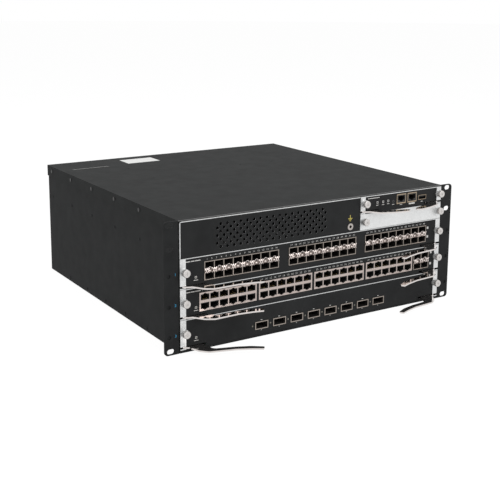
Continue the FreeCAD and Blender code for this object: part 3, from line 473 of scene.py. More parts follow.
dress(body_coat, "chassis_shell", "left_rack_ear", "right_rack_ear", "rear_panel", "fan_tray_frame")
dress(cover_coat, "top_cover")
dress(zinc, "shelf", "bay_divider", "card_guides")
dress(blank_zinc, "filler_panel")
dress(black_zinc, "case_screws")
dress(dull_nickel, "earth_jack")
for card in CARDS:
    dress(card_front(card + "_front", card), card + "_faceplate")
    dress(zinc, card + "_tray")
    dress(steel, card + "_left_lever", card + "_right_lever")
dress(intake_front("intake_front"), "intake_panel")
print("sheet metal dressed")


# %% Sockets: bright shields with dark insides, painted shade in the metal cages and black plastic in the jacks
def hollow_blocks(paint, node, block_pitch, block_width, wall):
    """1 inside the pockets of a row of socket blocks."""
    low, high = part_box(node)
    across = (paint.x - low.x).wrap(0.0, block_pitch)
    return (paint.between(across, wall, block_width - wall)
            * paint.between(paint.z, low.z + wall, high.z - wall)
            * paint.between(paint.y, low.y + 0.5 * mm, high.y - 1.0 * mm, 0.3 * mm))


def shield(name, node, colour, inside, block_pitch, block_width, windows=None):
    """Stamped metal outside, another colour in the pockets and on the plastic face round each mouth:
    painted shade in the metal cages, black plastic in the jacks.
    """
    paint = Paint(name)
    pocket = hollow_blocks(paint, node, block_pitch, block_width, SHIELD_WALL)
    if windows:
        pocket = pocket.most(windows(paint))
    stamped = paint.noise(700.0, 3.0)
    light = tuple(min(1.0, 1.1 * v) for v in colour)
    dark = tuple(0.88 * v for v in colour)
    metal = paint.ramp(stamped, (0.3, dark), (0.7, light))
    # The pocket colour is painted shade in the metal cages and the jacks' own black plastic.
    paint.feed("Base Color", paint.mix(pocket, metal, inside))
    paint.feed("Metallic", 1 - pocket)
    paint.feed("Roughness", 0.3 + 0.25 * pocket + 0.1 * stamped)
    return paint


SHIELD_WALL = 0.45 * mm
CAGE_METAL = (0.30, 0.265, 0.235)
SHIELD_METAL = (0.46, 0.395, 0.365)
WIDE_METAL = (0.34, 0.305, 0.265)
GOLDEN_METAL = (0.34, 0.275, 0.20)
# Painted shade: near-black for the insides of the metal cages, where little light reaches.
CAGE_PAINTED_SHADE = (0.012, 0.010, 0.009)
SOCKET_BLACK = (0.008, 0.008, 0.008)
SFP_PITCH = 14.2 * mm
SFP_BLOCK_PITCH = 130.7624 * mm
SFP_COLUMNS = 8
SFP_WALL = 1.0 * mm
JACK_PITCH = 14.1 * mm
JACK_BLOCK_PITCH = 90.6122 * mm
JACK_COLUMNS = 6
QSFP_PITCH = 28.69752 * mm
sfp_block_width = SFP_COLUMNS * SFP_PITCH + SFP_WALL
qsfp_low, qsfp_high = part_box("line_card_3_uplink_cages")
qsfp_width = qsfp_high.x - qsfp_low.x - 7 * QSFP_PITCH
uplink_low, uplink_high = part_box("line_card_2_uplink_cage")
ONE_BLOCK = 1.0
JACK_EDGE = 1.2 * mm
WINDOW_HALF = 6.35 * mm
WINDOW_ROWS = ((2.9 * mm, 10.9 * mm), (14.5 * mm, 22.3 * mm))
SINGLE_FACES = ((1.0 * mm, 16.2 * mm), (21.2 * mm, 36.4 * mm))
SINGLE_ROW = (1.6 * mm, 12.8 * mm)
jack_block_width = JACK_COLUMNS * JACK_PITCH + 2 * JACK_EDGE


def jack_windows(paint):
    """1 on the black plastic face round each data jack, between the strips of the shield."""
    low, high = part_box("line_card_2_data_jacks")
    across = (paint.x - (low.x + JACK_EDGE)).wrap(0.0, JACK_BLOCK_PITCH)
    cell = across.wrap(0.0, JACK_PITCH) - JACK_PITCH / 2
    in_cell = (1 - paint.step(abs(cell), WINDOW_HALF)) * (1 - paint.step(across, JACK_COLUMNS * JACK_PITCH))
    rows = [paint.between(paint.z, low.z + bottom, low.z + top) for bottom, top in WINDOW_ROWS]
    return in_cell * (rows[0] + rows[1])


def single_windows(paint):
    """1 on the black face of the two jacks of the management card, and in the serial socket."""
    low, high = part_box("management_card_sockets")
    faces = [paint.between(paint.x, low.x + left, low.x + right) for left, right in SINGLE_FACES]
    return (faces[0] + faces[1]) * paint.between(paint.z, low.z + SINGLE_ROW[0], low.z + SINGLE_ROW[1])


for name, node, colour, inside, pitch, width, windows in (
        ("module_cage", "line_card_1_module_cages", CAGE_METAL, CAGE_PAINTED_SHADE, SFP_BLOCK_PITCH,
         sfp_block_width, None),
        ("jack_shield", "line_card_2_data_jacks", SHIELD_METAL, SOCKET_BLACK, JACK_BLOCK_PITCH,
         jack_block_width, jack_windows),
        ("small_cage", "line_card_2_uplink_cage", CAGE_METAL, CAGE_PAINTED_SHADE, ONE_BLOCK,
         uplink_high.x - uplink_low.x, None),
        ("wide_cage", "line_card_3_uplink_cages", WIDE_METAL, CAGE_PAINTED_SHADE, QSFP_PITCH, qsfp_width, None),
        ("management_socket", "management_card_sockets", GOLDEN_METAL, SOCKET_BLACK, ONE_BLOCK, ONE_BLOCK,
         single_windows)):
    dress(shield(name, node, colour, inside, pitch, width, windows), node)
print("sockets dressed")

# %% [markdown]
# ## Circuit boards and plastics
#
# Boards show only when a card is drawn out. Their green resist is nearly black over bare laminate and
# lighter over copper tracks, so a fine pattern of straight runs in two directions does most of it.


# %% Boards, plastics and latches
def circuit_board(name):
    paint = Paint(name, Roughness=0.35)
    runs = paint.flakes(260.0, (0.15, 1, 1)) * 0.5 + paint.flakes(260.0, (1, 0.15, 1)) * 0.5
    paint.feed("Base Color", paint.ramp(runs, (0.35, (0.008, 0.045, 0.022)), (0.75, (0.018, 0.095, 0.045))))
    paint.bump(runs, 0.03 * mm, 0.3)
    return paint


def plastic(name, colour, rough=0.42):
    paint = Paint(name, Specular_IOR_Level=0.4)
    cloud = paint.noise(90.0, 2.0)
    paint.feed("Base Color", paint.ramp(cloud, (0.3, tuple(0.9 * v for v in colour)), (0.7, colour)))
    paint.feed("Roughness", rough + 0.08 * cloud)
    paint.bump(paint.noise(1800.0), 0.02 * mm, 0.4)
    return paint


board_green = circuit_board("board_green")
fan_black = plastic("fan_black", (0.018, 0.018, 0.019))
latch_red = plastic("latch_red", (0.28, 0.022, 0.015))
dress(board_green, "backplane", "power_board", *[card + "_board" for card in CARDS])
dress(fan_black, "fan_housings", "fan_rotor_1", "fan_rotor_2", "fan_rotor_3")
dress(latch_red, "power_supply_1_latch", "power_supply_2_latch")
print("boards and plastics dressed")


# %% Power supply cases
def supply_finish(node):
    """Zinc case with a black mains inlet and a black handle."""
    low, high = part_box(node)
    paint = Paint(node + "_finish")
    inlet = paint.inside((low.x + INLET_SIDES[0], high.y - INLET_DEPTH, low.z + INLET_MARGIN),
                         (low.x + INLET_SIDES[1], high.y + 1.0 * mm, high.z - INLET_MARGIN))
    outside = paint.step(paint.y, SUPPLY_BACK + 0.3 * mm)
    left_of_latch = 1 - paint.step(paint.x, high.x - LATCH_STRIP)
    black = inlet.most(outside * left_of_latch)
    paint.feed("Base Color", paint.mix(black, zinc_colour(paint), INLET_BLACK))
    paint.feed("Metallic", 1 - black)
    paint.feed("Roughness", 0.4 + 0.1 * black + 0.1 * paint.noise(300.0))
    return paint


SUPPLY_BACK = 226.5 * mm
INLET_SIDES = (8.4 * mm, 38.6 * mm)
INLET_DEPTH = 50.0 * mm
INLET_MARGIN = 9.5 * mm
LATCH_STRIP = 16.0 * mm
INLET_BLACK = (0.016, 0.016, 0.017)
for node in ("power_supply_1_case", "power_supply_2_case"):
    dress(supply_finish(node), node)


# %% Small finishes for what is added by hand
def ink(name, colour, rough=0.55):
    """Screen print: a flat colour that is a little thin in places."""
    paint = Paint(name)
    thin = tuple(0.82 * v for v in colour)
    paint.feed("Base Color", paint.ramp(paint.noise(1500.0, 3.0), (0.3, thin), (0.7, colour)))
    paint.feed("Roughness", rough + 0.1 * paint.noise(700.0))
    return paint


white_print = ink("white_print", (0.62, 0.61, 0.59))
blue_print = ink("blue_print", (0.02, 0.34, 0.62))
yellow_print = ink("yellow_print", (0.58, 0.48, 0.09))
label_paper = ink("label_paper", (0.86, 0.86, 0.85), 0.7)
light_lens = ink("light_lens", (0.16, 0.15, 0.12), 0.2)
reset_paint = ink("reset_button", (0.05, 0.05, 0.05), 0.3)
chip_black = plastic("chip_black", (0.02, 0.02, 0.021), 0.5)
# Painted shade: a flat near-black for the thin sheets inside the spring arches.
socket_dark = ink("socket_shadow", (0.012, 0.010, 0.009), 0.6)
band_metal = plain_metal("spring_fingers", (0.66, 0.59, 0.555), 0.3, spread=0.16)
strip_metal = plain_metal("spring_strip", (0.20, 0.165, 0.15), 0.3)
rim_metal = plain_metal("cage_rim", (0.34, 0.30, 0.265), 0.34)
print("prints and small finishes ready")

# %% [markdown]
# ## From a bmesh to a piece
#
# Every new piece starts as a bmesh, so that loops and operators shape it while it is cheap to change. One
# helper ends them all: it turns the faces outwards, shades round parts smoothly but keeps corners sharp,
# names the part of the machine that carries the piece, and names the finish.

# %% One way to finish a piece
CORNER_ANGLE = math.radians(35)


def finish_piece(name, shape, paint, body, closed=True):
    """Turns a bmesh into an object that rides on a body."""
    if closed:
        bmesh.ops.recalc_face_normals(shape, faces=shape.faces)
    for face in shape.faces:
        face.smooth = True
    mesh = bpy.data.meshes.new(name)
    shape.to_mesh(mesh)
    shape.free()
    mesh.set_sharp_from_angle(angle=CORNER_ANGLE)
    mesh.materials.append(paint.material)
    made = bpy.data.objects.new(name, mesh)
    bpy.context.scene.collection.objects.link(made)
    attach(made, body)
    print("%s: %d faces" % (name, len(mesh.polygons)))
    return made


# %% [markdown]
# Most stamped and moulded details are one of three shapes: a block with eased edges, a frame round an
# opening, or something turned on a lathe. A block and a frame are given by two corners, and a turned shape
# by its profile. What is used many times is kept as a small mesh and stamped.

# %% Blocks, frames and turned shapes
def block(shape, low, high, round_off=0.0):
    """A box between two corners. With no rounding, the vertices that it gives back can still be moved."""
    made = bmesh.ops.create_cube(shape, size=1.0)["verts"]
    low = Vector(low)
    high = Vector(high)
    bmesh.ops.scale(shape, vec=high - low, verts=made)
    bmesh.ops.translate(shape, vec=(low + high) / 2, verts=made)
    if round_off:
        edges = list({edge for vert in made for edge in vert.link_edges})
        bmesh.ops.bevel(shape, geom=edges, offset=round_off, segments=1, profile=0.5, affect="EDGES",
                        material=-1)
    return made


def ring_frame(shape, low, high, wall):
    """A box between two corners with an opening along Y."""
    made = block(shape, low, high)
    faces = list({face for vert in made for face in vert.link_faces})
    shape.normal_update()
    ends = [face for face in faces if abs(face.normal.y) > 0.5]
    bmesh.ops.inset_individual(shape, faces=ends, thickness=wall, use_even_offset=True)
    rims = [edge for face in ends for edge in face.edges]
    bmesh.ops.delete(shape, geom=ends, context="FACES_ONLY")
    bmesh.ops.bridge_loops(shape, edges=rims)


def template(shape, name):
    """Keeps a small shape as a mesh that is stamped many times."""
    mesh = bpy.data.meshes.new(name)
    shape.to_mesh(mesh)
    shape.free()
    return mesh


def stamp(shape, mesh, place, size=1.0):
    """Adds a copy of a small mesh at a place."""
    copy = mesh.copy()
    copy.transform(Matrix.Translation(place) @ Matrix.Scale(size, 4))
    shape.from_mesh(copy)
    bpy.data.meshes.remove(copy)


def turned(shape, profile, place, outward, steps=20):
    """A lathe shape: its profile has a radius and a distance along outward for each point."""
    part = bmesh.new()
    outward = Vector(outward)
    side = outward.orthogonal().normalized()
    verts = [part.verts.new(side * radius + outward * along) for radius, along in profile]
    edges = [part.edges.new(pair) for pair in zip(verts, verts[1:])]
    bmesh.ops.spin(part, geom=verts + edges, cent=(0, 0, 0), axis=outward, angle=math.tau, steps=steps,
                   use_merge=True)
    bmesh.ops.remove_doubles(part, verts=part.verts, dist=0.001 * mm)
    mesh = template(part, "turned")
    stamp(shape, mesh, place)
    bpy.data.meshes.remove(mesh)


FORWARD = (0, -1, 0)
print("shape helpers ready")

# %% [markdown]
# ## Captive thumbscrews
#
# Each is a turned knob with a knurled rim and a cross recess in its face, and it stays in its collar when
# it is undone. The knob is spun round its axis, and every second point of the rim is pulled in a little,
# which gives the knurl without cutting anything. The cross starts as a grid of three by three cells whose
# middle row and column are pushed in, and the space from the grid to the round rim is then filled.

# %% Turn the thumbscrews
KNURL_STEPS = 72
RIM_RADIUS = 5.2 * mm
KNURL_PULL = 0.94
FACE_DISTANCE = 4.9 * mm
SCREW_PROFILE = ((0.0, -12.3), (1.6, -12.3), (2.0, -11.9), (2.0, 0.0), (3.4, 0.0), (3.4, 1.0), (4.4, 1.0),
                 (5.2, 1.6), (5.2, 4.3), (4.6, 4.9), (3.9, 4.9))
CROSS_LINES = (-2.0 * mm, -0.3 * mm, 0.3 * mm, 2.0 * mm)
CROSS_DEPTH = 0.5 * mm


def knurled_knob(shape):
    """The screw at the origin, facing forward, with its seat at y = 0."""
    turned(shape, [(radius * mm, along * mm) for radius, along in SCREW_PROFILE], (0, 0, 0), FORWARD,
           KNURL_STEPS)
    step = math.tau / KNURL_STEPS
    rim = [vert for vert in shape.verts if abs(math.hypot(vert.co.x, vert.co.z) - RIM_RADIUS) < 0.01 * mm]
    valleys = [vert for vert in rim if round(math.atan2(vert.co.z, vert.co.x) / step) % 2]
    bmesh.ops.scale(shape, vec=(KNURL_PULL, 1, KNURL_PULL), verts=valleys)


def cross_face(shape, turn_angle):
    """Closes the knob's open face with a cross recess."""
    grid = bmesh.ops.create_grid(shape, x_segments=3, y_segments=3, size=1.0)["verts"]
    for vert in grid:
        vert.co.x = CROSS_LINES[round((vert.co.x + 1) * 1.5)]
        vert.co.y = CROSS_LINES[round((vert.co.y + 1) * 1.5)]
    faces = list({face for vert in grid for face in vert.link_faces})
    arm = CROSS_LINES[2]
    cross = [face for face in faces
             if abs(face.calc_center_median().x) < arm or abs(face.calc_center_median().y) < arm]
    lay = Matrix.Translation((0, -FACE_DISTANCE, 0)) @ Matrix.Rotation(turn_angle, 4, "Y")
    bmesh.ops.transform(shape, matrix=lay @ Matrix.Rotation(math.pi / 2, 4, "X"), verts=grid)
    pushed = bmesh.ops.extrude_face_region(shape, geom=cross)["geom"]
    bmesh.ops.translate(shape, vec=(0, CROSS_DEPTH, 0),
                        verts=[part for part in pushed if isinstance(part, bmesh.types.BMVert)])
    bmesh.ops.delete(shape, geom=[face for face in cross if face.is_valid], context="FACES")
    open_edges = [edge for edge in shape.edges if edge.is_boundary]
    bmesh.ops.triangle_fill(shape, edges=open_edges, use_beauty=True, normal=FORWARD)


screw_nodes = sorted(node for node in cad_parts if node.endswith("_thumbscrew"))
for index, node in enumerate(screw_nodes):
    low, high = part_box(node)
    rear = node.startswith("fan_tray")
    seat = high.y - FACE_DISTANCE if rear else low.y + FACE_DISTANCE
    knob = bmesh.new()
    knurled_knob(knob)
    cross_face(knob, 0.4 * index)
    if rear:
        bmesh.ops.scale(knob, vec=(1, -1, 1), verts=knob.verts)
    bmesh.ops.translate(knob, vec=((low.x + high.x) / 2, seat, (low.z + high.z) / 2), verts=knob.verts)
    made = finish_piece(node + "_knurled", knob, nickel, node)
    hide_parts(node)

# %% [markdown]
# ## Spring bands of the module cages
#
# Between the two rows of module sockets runs a bright strip. It is cut into spring fingers, which press on
# the modules to earth them, and it bulges outwards. One pair of crossed fingers and one arch are made once
# and stamped along every cage, because a shape that is used so often has to stay small.

# %% Make the finger pair, the arch and its shadow
FINGER_LENGTH = 7.4 * mm
FINGER_WIDTH = 0.85 * mm
FINGER_LEAN = math.radians(26)
FINGER_SPREAD = 1.5 * mm
FINGER_INSET = 3.0 * mm
FINGER_BULGE = 1.1 * mm
ARCH_RADIUS = 2.2 * mm
ARCH_WALL = 0.6 * mm
DOME_SIZE = (1.9 * mm, 0.8 * mm, 1.1 * mm)


def crossed_fingers():
    """Leaning slats that bulge forward in their middle."""
    shape = bmesh.new()
    for side in (-1, 1):
        for lean in (-1, 1):
            slat = bmesh.ops.create_grid(shape, x_segments=1, y_segments=4, size=0.5)["verts"]
            bmesh.ops.scale(shape, vec=(FINGER_WIDTH, FINGER_LENGTH, 1), verts=slat)
            stand = Matrix.Rotation(lean * FINGER_LEAN, 4, "Y") @ Matrix.Rotation(math.pi / 2, 4, "X")
            bmesh.ops.transform(shape, matrix=Matrix.Translation((side * FINGER_SPREAD, 0, 0)) @ stand,
                                verts=slat)
            for vert in slat:
                vert.co.y -= FINGER_BULGE * (1 - (2 * vert.co.z / FINGER_LENGTH) ** 2)
    bmesh.ops.solidify(shape, geom=shape.faces, thickness=0.15 * mm)
    return template(shape, "fingers")


def half_ring(inner, outer, depth):
    """An arch: a small square section spun through half a turn."""
    shape = bmesh.new()
    section = [shape.verts.new((radius, y, 0)) for radius, y in
               ((inner, 0), (outer, 0), (outer, -depth), (inner, -depth))]
    face = shape.faces.new(section)
    bmesh.ops.spin(shape, geom=[face] + list(face.edges) + section, cent=(0, 0, 0), axis=FORWARD,
                   angle=math.pi, steps=6)
    bmesh.ops.remove_doubles(shape, verts=shape.verts, dist=0.001 * mm)
    return template(shape, "arch")


def low_dome():
    """A small pressed dome."""
    shape = bmesh.new()
    bmesh.ops.create_icosphere(shape, subdivisions=2, radius=1.0)
    bmesh.ops.scale(shape, vec=DOME_SIZE, verts=shape.verts)
    return template(shape, "dome")


fingers = crossed_fingers()
dome = low_dome()
arch = half_ring(ARCH_RADIUS, ARCH_RADIUS + ARCH_WALL, 0.5 * mm)
# A thin dark half disc inside each arch is painted shade.
arch_shadow = half_ring(0.05 * mm, ARCH_RADIUS, 0.1 * mm)
print("faces of a finger pair:", len(fingers.polygons), "of an arch:", len(arch.polygons))

# %% Stamp them along the bands of every module cage
BAND_LOW = 9.6 * mm
BAND_HIGH = 15.4 * mm
BAND_SHEET = 0.3 * mm
STRIP_INSET = 0.6 * mm
ARCH_RISE = 2.2 * mm
DOME_DROP = 0.6 * mm


def spring_band(name, node, body, lefts, columns):
    """Band, fingers and arches of the cages that start at the given places."""
    low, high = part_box(node)
    face = low.y - BAND_SHEET
    metal = bmesh.new()
    shadows = bmesh.new()
    strip = bmesh.new()
    middle_z = low.z + (BAND_LOW + BAND_HIGH) / 2
    for left in lefts:
        right = left + columns * SFP_PITCH + SFP_WALL
        block(strip, (left + STRIP_INSET, face, low.z + BAND_LOW),
              (right - STRIP_INSET, low.y, low.z + BAND_HIGH), 0.1 * mm)
        for column in range(columns + 1):
            edge_x = left + SFP_WALL / 2 + column * SFP_PITCH
            inset = FINGER_INSET * ((column == 0) - (column == columns))
            stamp(metal, fingers, (edge_x + inset, face - 0.1 * mm, middle_z))
            if column < columns:
                middle_x = edge_x + SFP_PITCH / 2
                stamp(metal, arch, (middle_x, face, middle_z + ARCH_RISE))
                stamp(shadows, arch_shadow, (middle_x, face, middle_z + ARCH_RISE))
                stamp(metal, dome, (middle_x, face, middle_z - DOME_DROP))
    finish_piece(name, strip, strip_metal, body)
    finish_piece(name + "_fingers", metal, band_metal, body)
    # The dark half discs inside the arches are painted shade.
    finish_piece(name + "_slits", shadows, socket_dark, body)


cages_low, cages_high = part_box("line_card_1_module_cages")
cage_lefts = [cages_low.x + index * SFP_BLOCK_PITCH for index in range(3)]
spring_band("module_cage_bands", "line_card_1_module_cages", "line_card_1", cage_lefts, SFP_COLUMNS)
spring_band("uplink_cage_band", "line_card_2_uplink_cage", "line_card_2", [uplink_low.x], 2)

# %% [markdown]
# ## Contacts of the data jacks
#
# A network jack has eight gilt wires that slope from its mouth to its back, on the side away from the
# latch. In the upper row that side is at the bottom, in the lower row at the top. They show as a brown-gold
# glint, so a set of eight small sloping bars is enough, made once for each row.

# %% Bend and place the contact sets
CONTACT_PITCH = 1.02 * mm
CONTACT_LENGTH = 9.0 * mm
CONTACT_RISE = 2.6 * mm
UPPER_CONTACTS = 15.3 * mm
LOWER_CONTACTS = 9.4 * mm
SINGLE_CONTACTS = 11.0 * mm
SINGLE_MIDDLES = (8.6 * mm, 28.8 * mm)


def contact_set(direction):
    """Eight bars that slope up or down to the back."""
    shape = bmesh.new()
    for index in range(8):
        x = (index - 3.5) * CONTACT_PITCH
        bar = block(shape, (x - 0.2 * mm, 0, -0.15 * mm), (x + 0.2 * mm, CONTACT_LENGTH, 0.15 * mm))
        back = [vert for vert in bar if vert.co.y > CONTACT_LENGTH / 2]
        bmesh.ops.translate(shape, vec=(0, 0, direction * CONTACT_RISE), verts=back)
    return template(shape, "contacts")


rising_set = contact_set(1)
falling_set = contact_set(-1)
jacks_low, jacks_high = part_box("line_card_2_data_jacks")
contact_front = jacks_low.y + 2.0 * mm
contacts = bmesh.new()
for block_index in range(4):
    for column in range(JACK_COLUMNS):
        x = jacks_low.x + JACK_EDGE + block_index * JACK_BLOCK_PITCH + (column + 0.5) * JACK_PITCH
        stamp(contacts, rising_set, (x, contact_front, jacks_low.z + UPPER_CONTACTS))
        stamp(contacts, falling_set, (x, contact_front, jacks_low.z + LOWER_CONTACTS))
finish_piece("data_jack_contacts", contacts, brass, "line_card_2")

sockets_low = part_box("management_card_sockets")[0]
contacts = bmesh.new()
for middle in SINGLE_MIDDLES:
    stamp(contacts, falling_set, (sockets_low.x + middle, contact_front, sockets_low.z + SINGLE_CONTACTS))
finish_piece("management_jack_contacts", contacts, brass, "management_card")

# %% [markdown]
# ## Rims and guide lights of the wide cages
#
# Each wide uplink cage ends in a folded rim that stands a little proud of the panel, and the row of rims is
# the only thing that breaks the lowest card's face. Left of each is the small lens of its light.

# %% Fold the rims and set the lenses
RIM_OUT = 0.35 * mm
RIM_PROUD = 0.7 * mm
RIM_WALL = 1.1 * mm
LENS_OFFSET = 14.1 * mm
LENS = ((1.2 * mm, -0.3 * mm), (1.2 * mm, 0.1 * mm), (0.8 * mm, 0.4 * mm), (0.0, 0.5 * mm))
rims = bmesh.new()
lenses = bmesh.new()
for index in range(8):
    left = qsfp_low.x + index * QSFP_PITCH
    right = left + qsfp_width
    ring_frame(rims, (left - RIM_OUT, qsfp_low.y - RIM_PROUD, qsfp_low.z - RIM_OUT),
               (right + RIM_OUT, qsfp_low.y + 0.5 * mm, qsfp_high.z + RIM_OUT), RIM_WALL)
    lens_place = ((left + right) / 2 - LENS_OFFSET, plate_face, (qsfp_low.z + qsfp_high.z) / 2)
    turned(lenses, LENS, lens_place, FORWARD, 12)
finish_piece("wide_cage_rims", rims, rim_metal, "line_card_3")
finish_piece("wide_cage_lights", lenses, light_lens, "line_card_3")

# %% [markdown]
# ## Print
#
# Port numbers and small marks are screen printed. Each digit is a text object once: it is turned into a
# mesh, and that mesh is stamped wherever the digit is needed, which is quick and stays light. The print
# stands a few hundredths of a millimetre before the coat. Only plain port and slot numbers are drawn,
# and everything longer is a plain bar or dash of the same size.

# %% Cut the digits
PRINT_GAP = 0.03 * mm
DIGIT_HEIGHT = 2.3 * mm
CAP_SHARE = 0.7
DIGIT_STEP = 0.62


def digit_mesh(digit):
    """One flat digit that faces forward, one unit high and centred."""
    curve = bpy.data.curves.new("digit", "FONT")
    curve.body = digit
    curve.align_x = "CENTER"
    curve.align_y = "CENTER"
    curve.resolution_u = 2
    holder = bpy.data.objects.new("digit", curve)
    bpy.context.scene.collection.objects.link(holder)
    mesh = bpy.data.meshes.new_from_object(holder.evaluated_get(bpy.context.evaluated_depsgraph_get()))
    mesh.transform(Matrix.Rotation(math.pi / 2, 4, "X"))
    bpy.data.objects.remove(holder)
    bpy.data.curves.remove(curve)
    return mesh


digits = {digit: digit_mesh(digit) for digit in "0123456789"}


def number(shape, text, x, y, z, height):
    """Prints a number centred on a place."""
    size = height / CAP_SHARE
    for index, digit in enumerate(text):
        shift = (index - (len(text) - 1) / 2) * DIGIT_STEP * size
        stamp(shape, digits[digit], (x + shift, y, z), size)


def dash(shape, x, z, width, height, y):
    """A plain printed bar."""
    block(shape, (x - width / 2, y - PRINT_GAP, z - height / 2),
          (x + width / 2, y + PRINT_GAP, z + height / 2))


print("digits:", len(digits))

# %% Number the ports
NUMBER_SPREAD = 3.5 * mm
NUMBER_RISE = 2.8 * mm
print_y = plate_face - PRINT_GAP


def port_numbers(name, card, middles, z):
    """Two numbers over each column of two ports."""
    shape = bmesh.new()
    for column, x in enumerate(middles):
        number(shape, str(2 * column + 1), x - NUMBER_SPREAD, print_y, z, DIGIT_HEIGHT)
        number(shape, str(2 * column + 2), x + NUMBER_SPREAD, print_y, z, DIGIT_HEIGHT)
    finish_piece(name, shape, white_print, card, closed=False)


module_middles = [left + SFP_WALL / 2 + (column + 0.5) * SFP_PITCH
                  for left in cage_lefts for column in range(SFP_COLUMNS)]
jack_middles = [jacks_low.x + JACK_EDGE + block_index * JACK_BLOCK_PITCH + (column + 0.5) * JACK_PITCH
                for block_index in range(4) for column in range(JACK_COLUMNS)]
port_numbers("module_port_numbers", "line_card_1", module_middles, cages_high.z + NUMBER_RISE)
port_numbers("jack_port_numbers", "line_card_2", jack_middles, jacks_high.z + NUMBER_RISE)

# %% Marks of the line cards
LIGHT_X = -196.3 * mm
LIGHT_DROP = 26.4 * mm
SIDE_MARKS = {"line_card_1": ((195.6, 113.2), (195.6, 99.9)), "line_card_2": ((204.0, 74.6), (203.6, 57.5))}
for index, card in enumerate(LINE_CARDS):
    marks = bmesh.new()
    lens_z = card_top[card] - LIGHT_DROP
    ring_frame(marks, (LIGHT_X - 1.5 * mm, plate_face - 0.1 * mm, lens_z - 1.5 * mm),
               (LIGHT_X + 1.5 * mm, plate_face + 0.1 * mm, lens_z + 1.5 * mm), 0.5 * mm)
    dash(marks, LIGHT_X, lens_z - 3.9 * mm, 6.4 * mm, 0.8 * mm, plate_face)
    for mark_x, mark_z in SIDE_MARKS.get(card, ()):
        dash(marks, mark_x * mm, mark_z * mm, 3.2 * mm, 3.4 * mm, plate_face)
    if index < 2:
        title_z = card_top[card] - 4.7 * mm
        for start, end in ((-210.8, -204.5), (-203.6, -198.2), (-197.4, -189.5)):
            dash(marks, (start + end) / 2 * mm, title_z, (end - start) * mm, 1.1 * mm, plate_face)
    else:
        for port in range(8):
            middle = qsfp_low.x + port * QSFP_PITCH + qsfp_width / 2
            dash(marks, middle, qsfp_high.z + 2.1 * mm, 2.4 * mm, 0.9 * mm, plate_face)
            dash(marks, middle, qsfp_low.z - 2.2 * mm, 1.8 * mm, 0.6 * mm, plate_face)
    finish_piece(card + "_marks", marks, white_print, card)
    glow_lens = bmesh.new()
    turned(glow_lens, LENS, (LIGHT_X, plate_face, lens_z), FORWARD, 12)
    finish_piece(card + "_light", glow_lens, light_lens, card)

# %% Marks of the management card, the earth jack and the slots
marks = bmesh.new()
dash(marks, 91.3 * mm, 169.5 * mm, 21.0 * mm, 0.9 * mm, plate_face)
for x, z in ((98.3, 162.5), (108.6, 162.3), (118.0, 162.5)):
    ring_frame(marks, ((x - 1.5) * mm, plate_face - 0.1 * mm, (z - 1.5) * mm),
               ((x + 1.5) * mm, plate_face + 0.1 * mm, (z + 1.5) * mm), 0.55 * mm)
    dash(marks, x * mm, (z - 4.0) * mm, 4.2 * mm, 0.8 * mm, plate_face)
dash(marks, 127.5 * mm, 156.4 * mm, 4.0 * mm, 0.8 * mm, plate_face)
dash(marks, 142.0 * mm, 154.6 * mm, 4.6 * mm, 0.8 * mm, plate_face)
dash(marks, 181.8 * mm, 154.9 * mm, 4.0 * mm, 0.8 * mm, plate_face)
dash(marks, 162.5 * mm, 154.1 * mm, 11.2 * mm, 2.2 * mm, plate_face)
finish_piece("management_card_marks", marks, white_print, "management_card")

reset = bmesh.new()
turned(reset, ((1.9 * mm, -0.1 * mm), (1.9 * mm, 0.25 * mm), (1.2 * mm, 0.25 * mm), (1.1 * mm, -0.05 * mm),
               (0.0, -0.05 * mm)), (127.4 * mm, plate_face, 160.9 * mm), FORWARD, 20)
finish_piece("reset_button", reset, reset_paint, "management_card", closed=False)

earth = bmesh.new()
EARTH_X = 50.2 * mm
earth_base = 141.2 * mm
block(earth, (EARTH_X - 0.5 * mm, print_y - PRINT_GAP, earth_base + 4.0 * mm),
      (EARTH_X + 0.5 * mm, print_y + PRINT_GAP, earth_base + 8.6 * mm))
for row, width in enumerate((2.2, 4.6, 7.0)):
    dash(earth, EARTH_X, earth_base + (0.4 + 1.7 * row) * mm, width * mm, 0.9 * mm, plate_face)
finish_piece("earth_symbol", earth, yellow_print, "chassis")

SLOT_DIGIT_HEIGHT = 3.7 * mm
slot_numbers = bmesh.new()
for text, z in (("1", 105.9), ("2", 65.1), ("3", 24.5)):
    number(slot_numbers, text, -225.2 * mm, front_plane - PRINT_GAP, z * mm, SLOT_DIGIT_HEIGHT)
finish_piece("slot_numbers", slot_numbers, blue_print, "chassis", closed=False)

# %% [markdown]
# ## Lid and sides
#
# The lid carries a blank paper label and a row of small dimples where brackets are welded under it, and
# the sides have rivets for the rails inside. A rivet is a low dome, so it is turned.

# %% Label, dimples and rivets
lid_top = cover_high.z
label = bmesh.new()
block(label, (-102.1 * mm, 170.0 * mm, lid_top - 0.05 * mm),
      (-44.6 * mm, 205.0 * mm, lid_top + 0.12 * mm), 0.05 * mm)
finish_piece("blank_label", label, label_paper, "chassis")
line = bmesh.new()
block(line, (-201.7 * mm, 164.1 * mm, lid_top - 0.05 * mm), (-139.6 * mm, 164.9 * mm, lid_top + 0.1 * mm))
finish_piece("lid_line", line, white_print, "chassis")

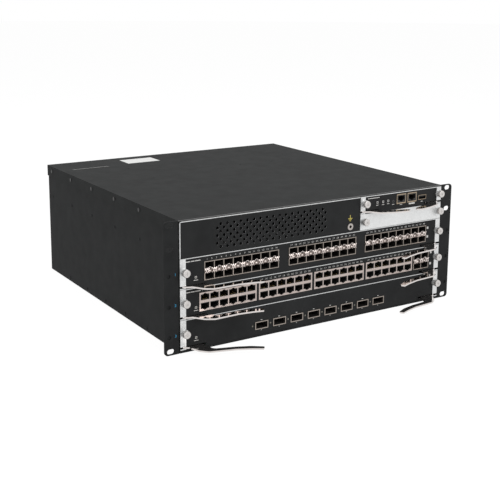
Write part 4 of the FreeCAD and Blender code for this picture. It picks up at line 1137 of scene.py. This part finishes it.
DIMPLES = ((-120.6, 130.8), (-121.2, 40.1), (52.5, 70.1), (114.7, 71.1), (170.2, 120.3))
DIMPLE = ((2.2 * mm, -0.1 * mm), (1.8 * mm, 0.2 * mm), (0.9 * mm, 0.3 * mm), (0.0, 0.32 * mm))
RIVET = ((2.4 * mm, -0.1 * mm), (2.3 * mm, 0.35 * mm), (1.4 * mm, 0.7 * mm), (0.0, 0.8 * mm))
SIDE_RIVETS = (-111.4, -31.0, 50.6, 128.8, 208.9)
FOOT_RIVETS = (-129.4, -60.7, 7.3, 75.6, 143.9)
shell_low, shell_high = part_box("chassis_shell")
dimples = bmesh.new()
for x, y in DIMPLES:
    turned(dimples, DIMPLE, (x * mm, y * mm, lid_top), (0, 0, 1), 16)
finish_piece("lid_dimples", dimples, cover_coat, "chassis")
rivets = bmesh.new()
for side, plane in ((-1, shell_low.x), (1, shell_high.x)):
    for y in SIDE_RIVETS:
        turned(rivets, RIVET, (plane, y * mm, 125.6 * mm), (side, 0, 0), 16)
    for y in FOOT_RIVETS:
        turned(rivets, RIVET, (plane, y * mm, 5.4 * mm), (side, 0, 0), 16)
finish_piece("side_rivets", rivets, body_coat, "chassis")

# %% [markdown]
# ## What the boards carry
#
# The boards only show when a card is out, or through a socket, but a bare green board would look like a
# Each gets rows of memory and switch chips, which are blocks with eased edges, and round metal capacitors
# with a wider foot, turned in the same metal.

# %% Fill the boards
BOARD_PARTS = {
    "line_card_1": ((-165, -105, 105, 165), (-150, -135, -45)),
    "line_card_2": ((-165, -105, 105, 165), (-150, -135, -45)),
    "line_card_3": ((-165, -105, 105, 165), (-135, -120, -45)),
    "management_card": ((105, 185), (-170, -150, -20)),
}
BOARD_RISE = 7.4 * mm
CAPACITOR = ((3.2, 0.0), (3.2, 1.2), (2.9, 1.4), (2.9, 6.4), (2.6, 6.8), (0.0, 6.8))
for card, (columns, rows) in BOARD_PARTS.items():
    top = card_floor[card] + BOARD_RISE
    chips = bmesh.new()
    cans = bmesh.new()
    for x in columns:
        for y, half_depth, rise in ((rows[0], 4.5, 1.1), (rows[2], 9.0, 1.6)):
            block(chips, ((x - 9) * mm, (y - half_depth) * mm, top),
                  ((x + 9) * mm, (y + half_depth) * mm, top + rise * mm), 0.25 * mm)
        for offset in (-8, 0, 8):
            turned(cans, [(radius * mm, along * mm) for radius, along in CAPACITOR],
                   ((x + offset) * mm, rows[1] * mm, top), (0, 0, 1), 16)
    finish_piece(card + "_chips", chips, chip_black, card)
    finish_piece(card + "_capacitors", cans, nickel, card, closed=False)

# %% [markdown]
# ## Last step

# %% Finish
print("scene finished")
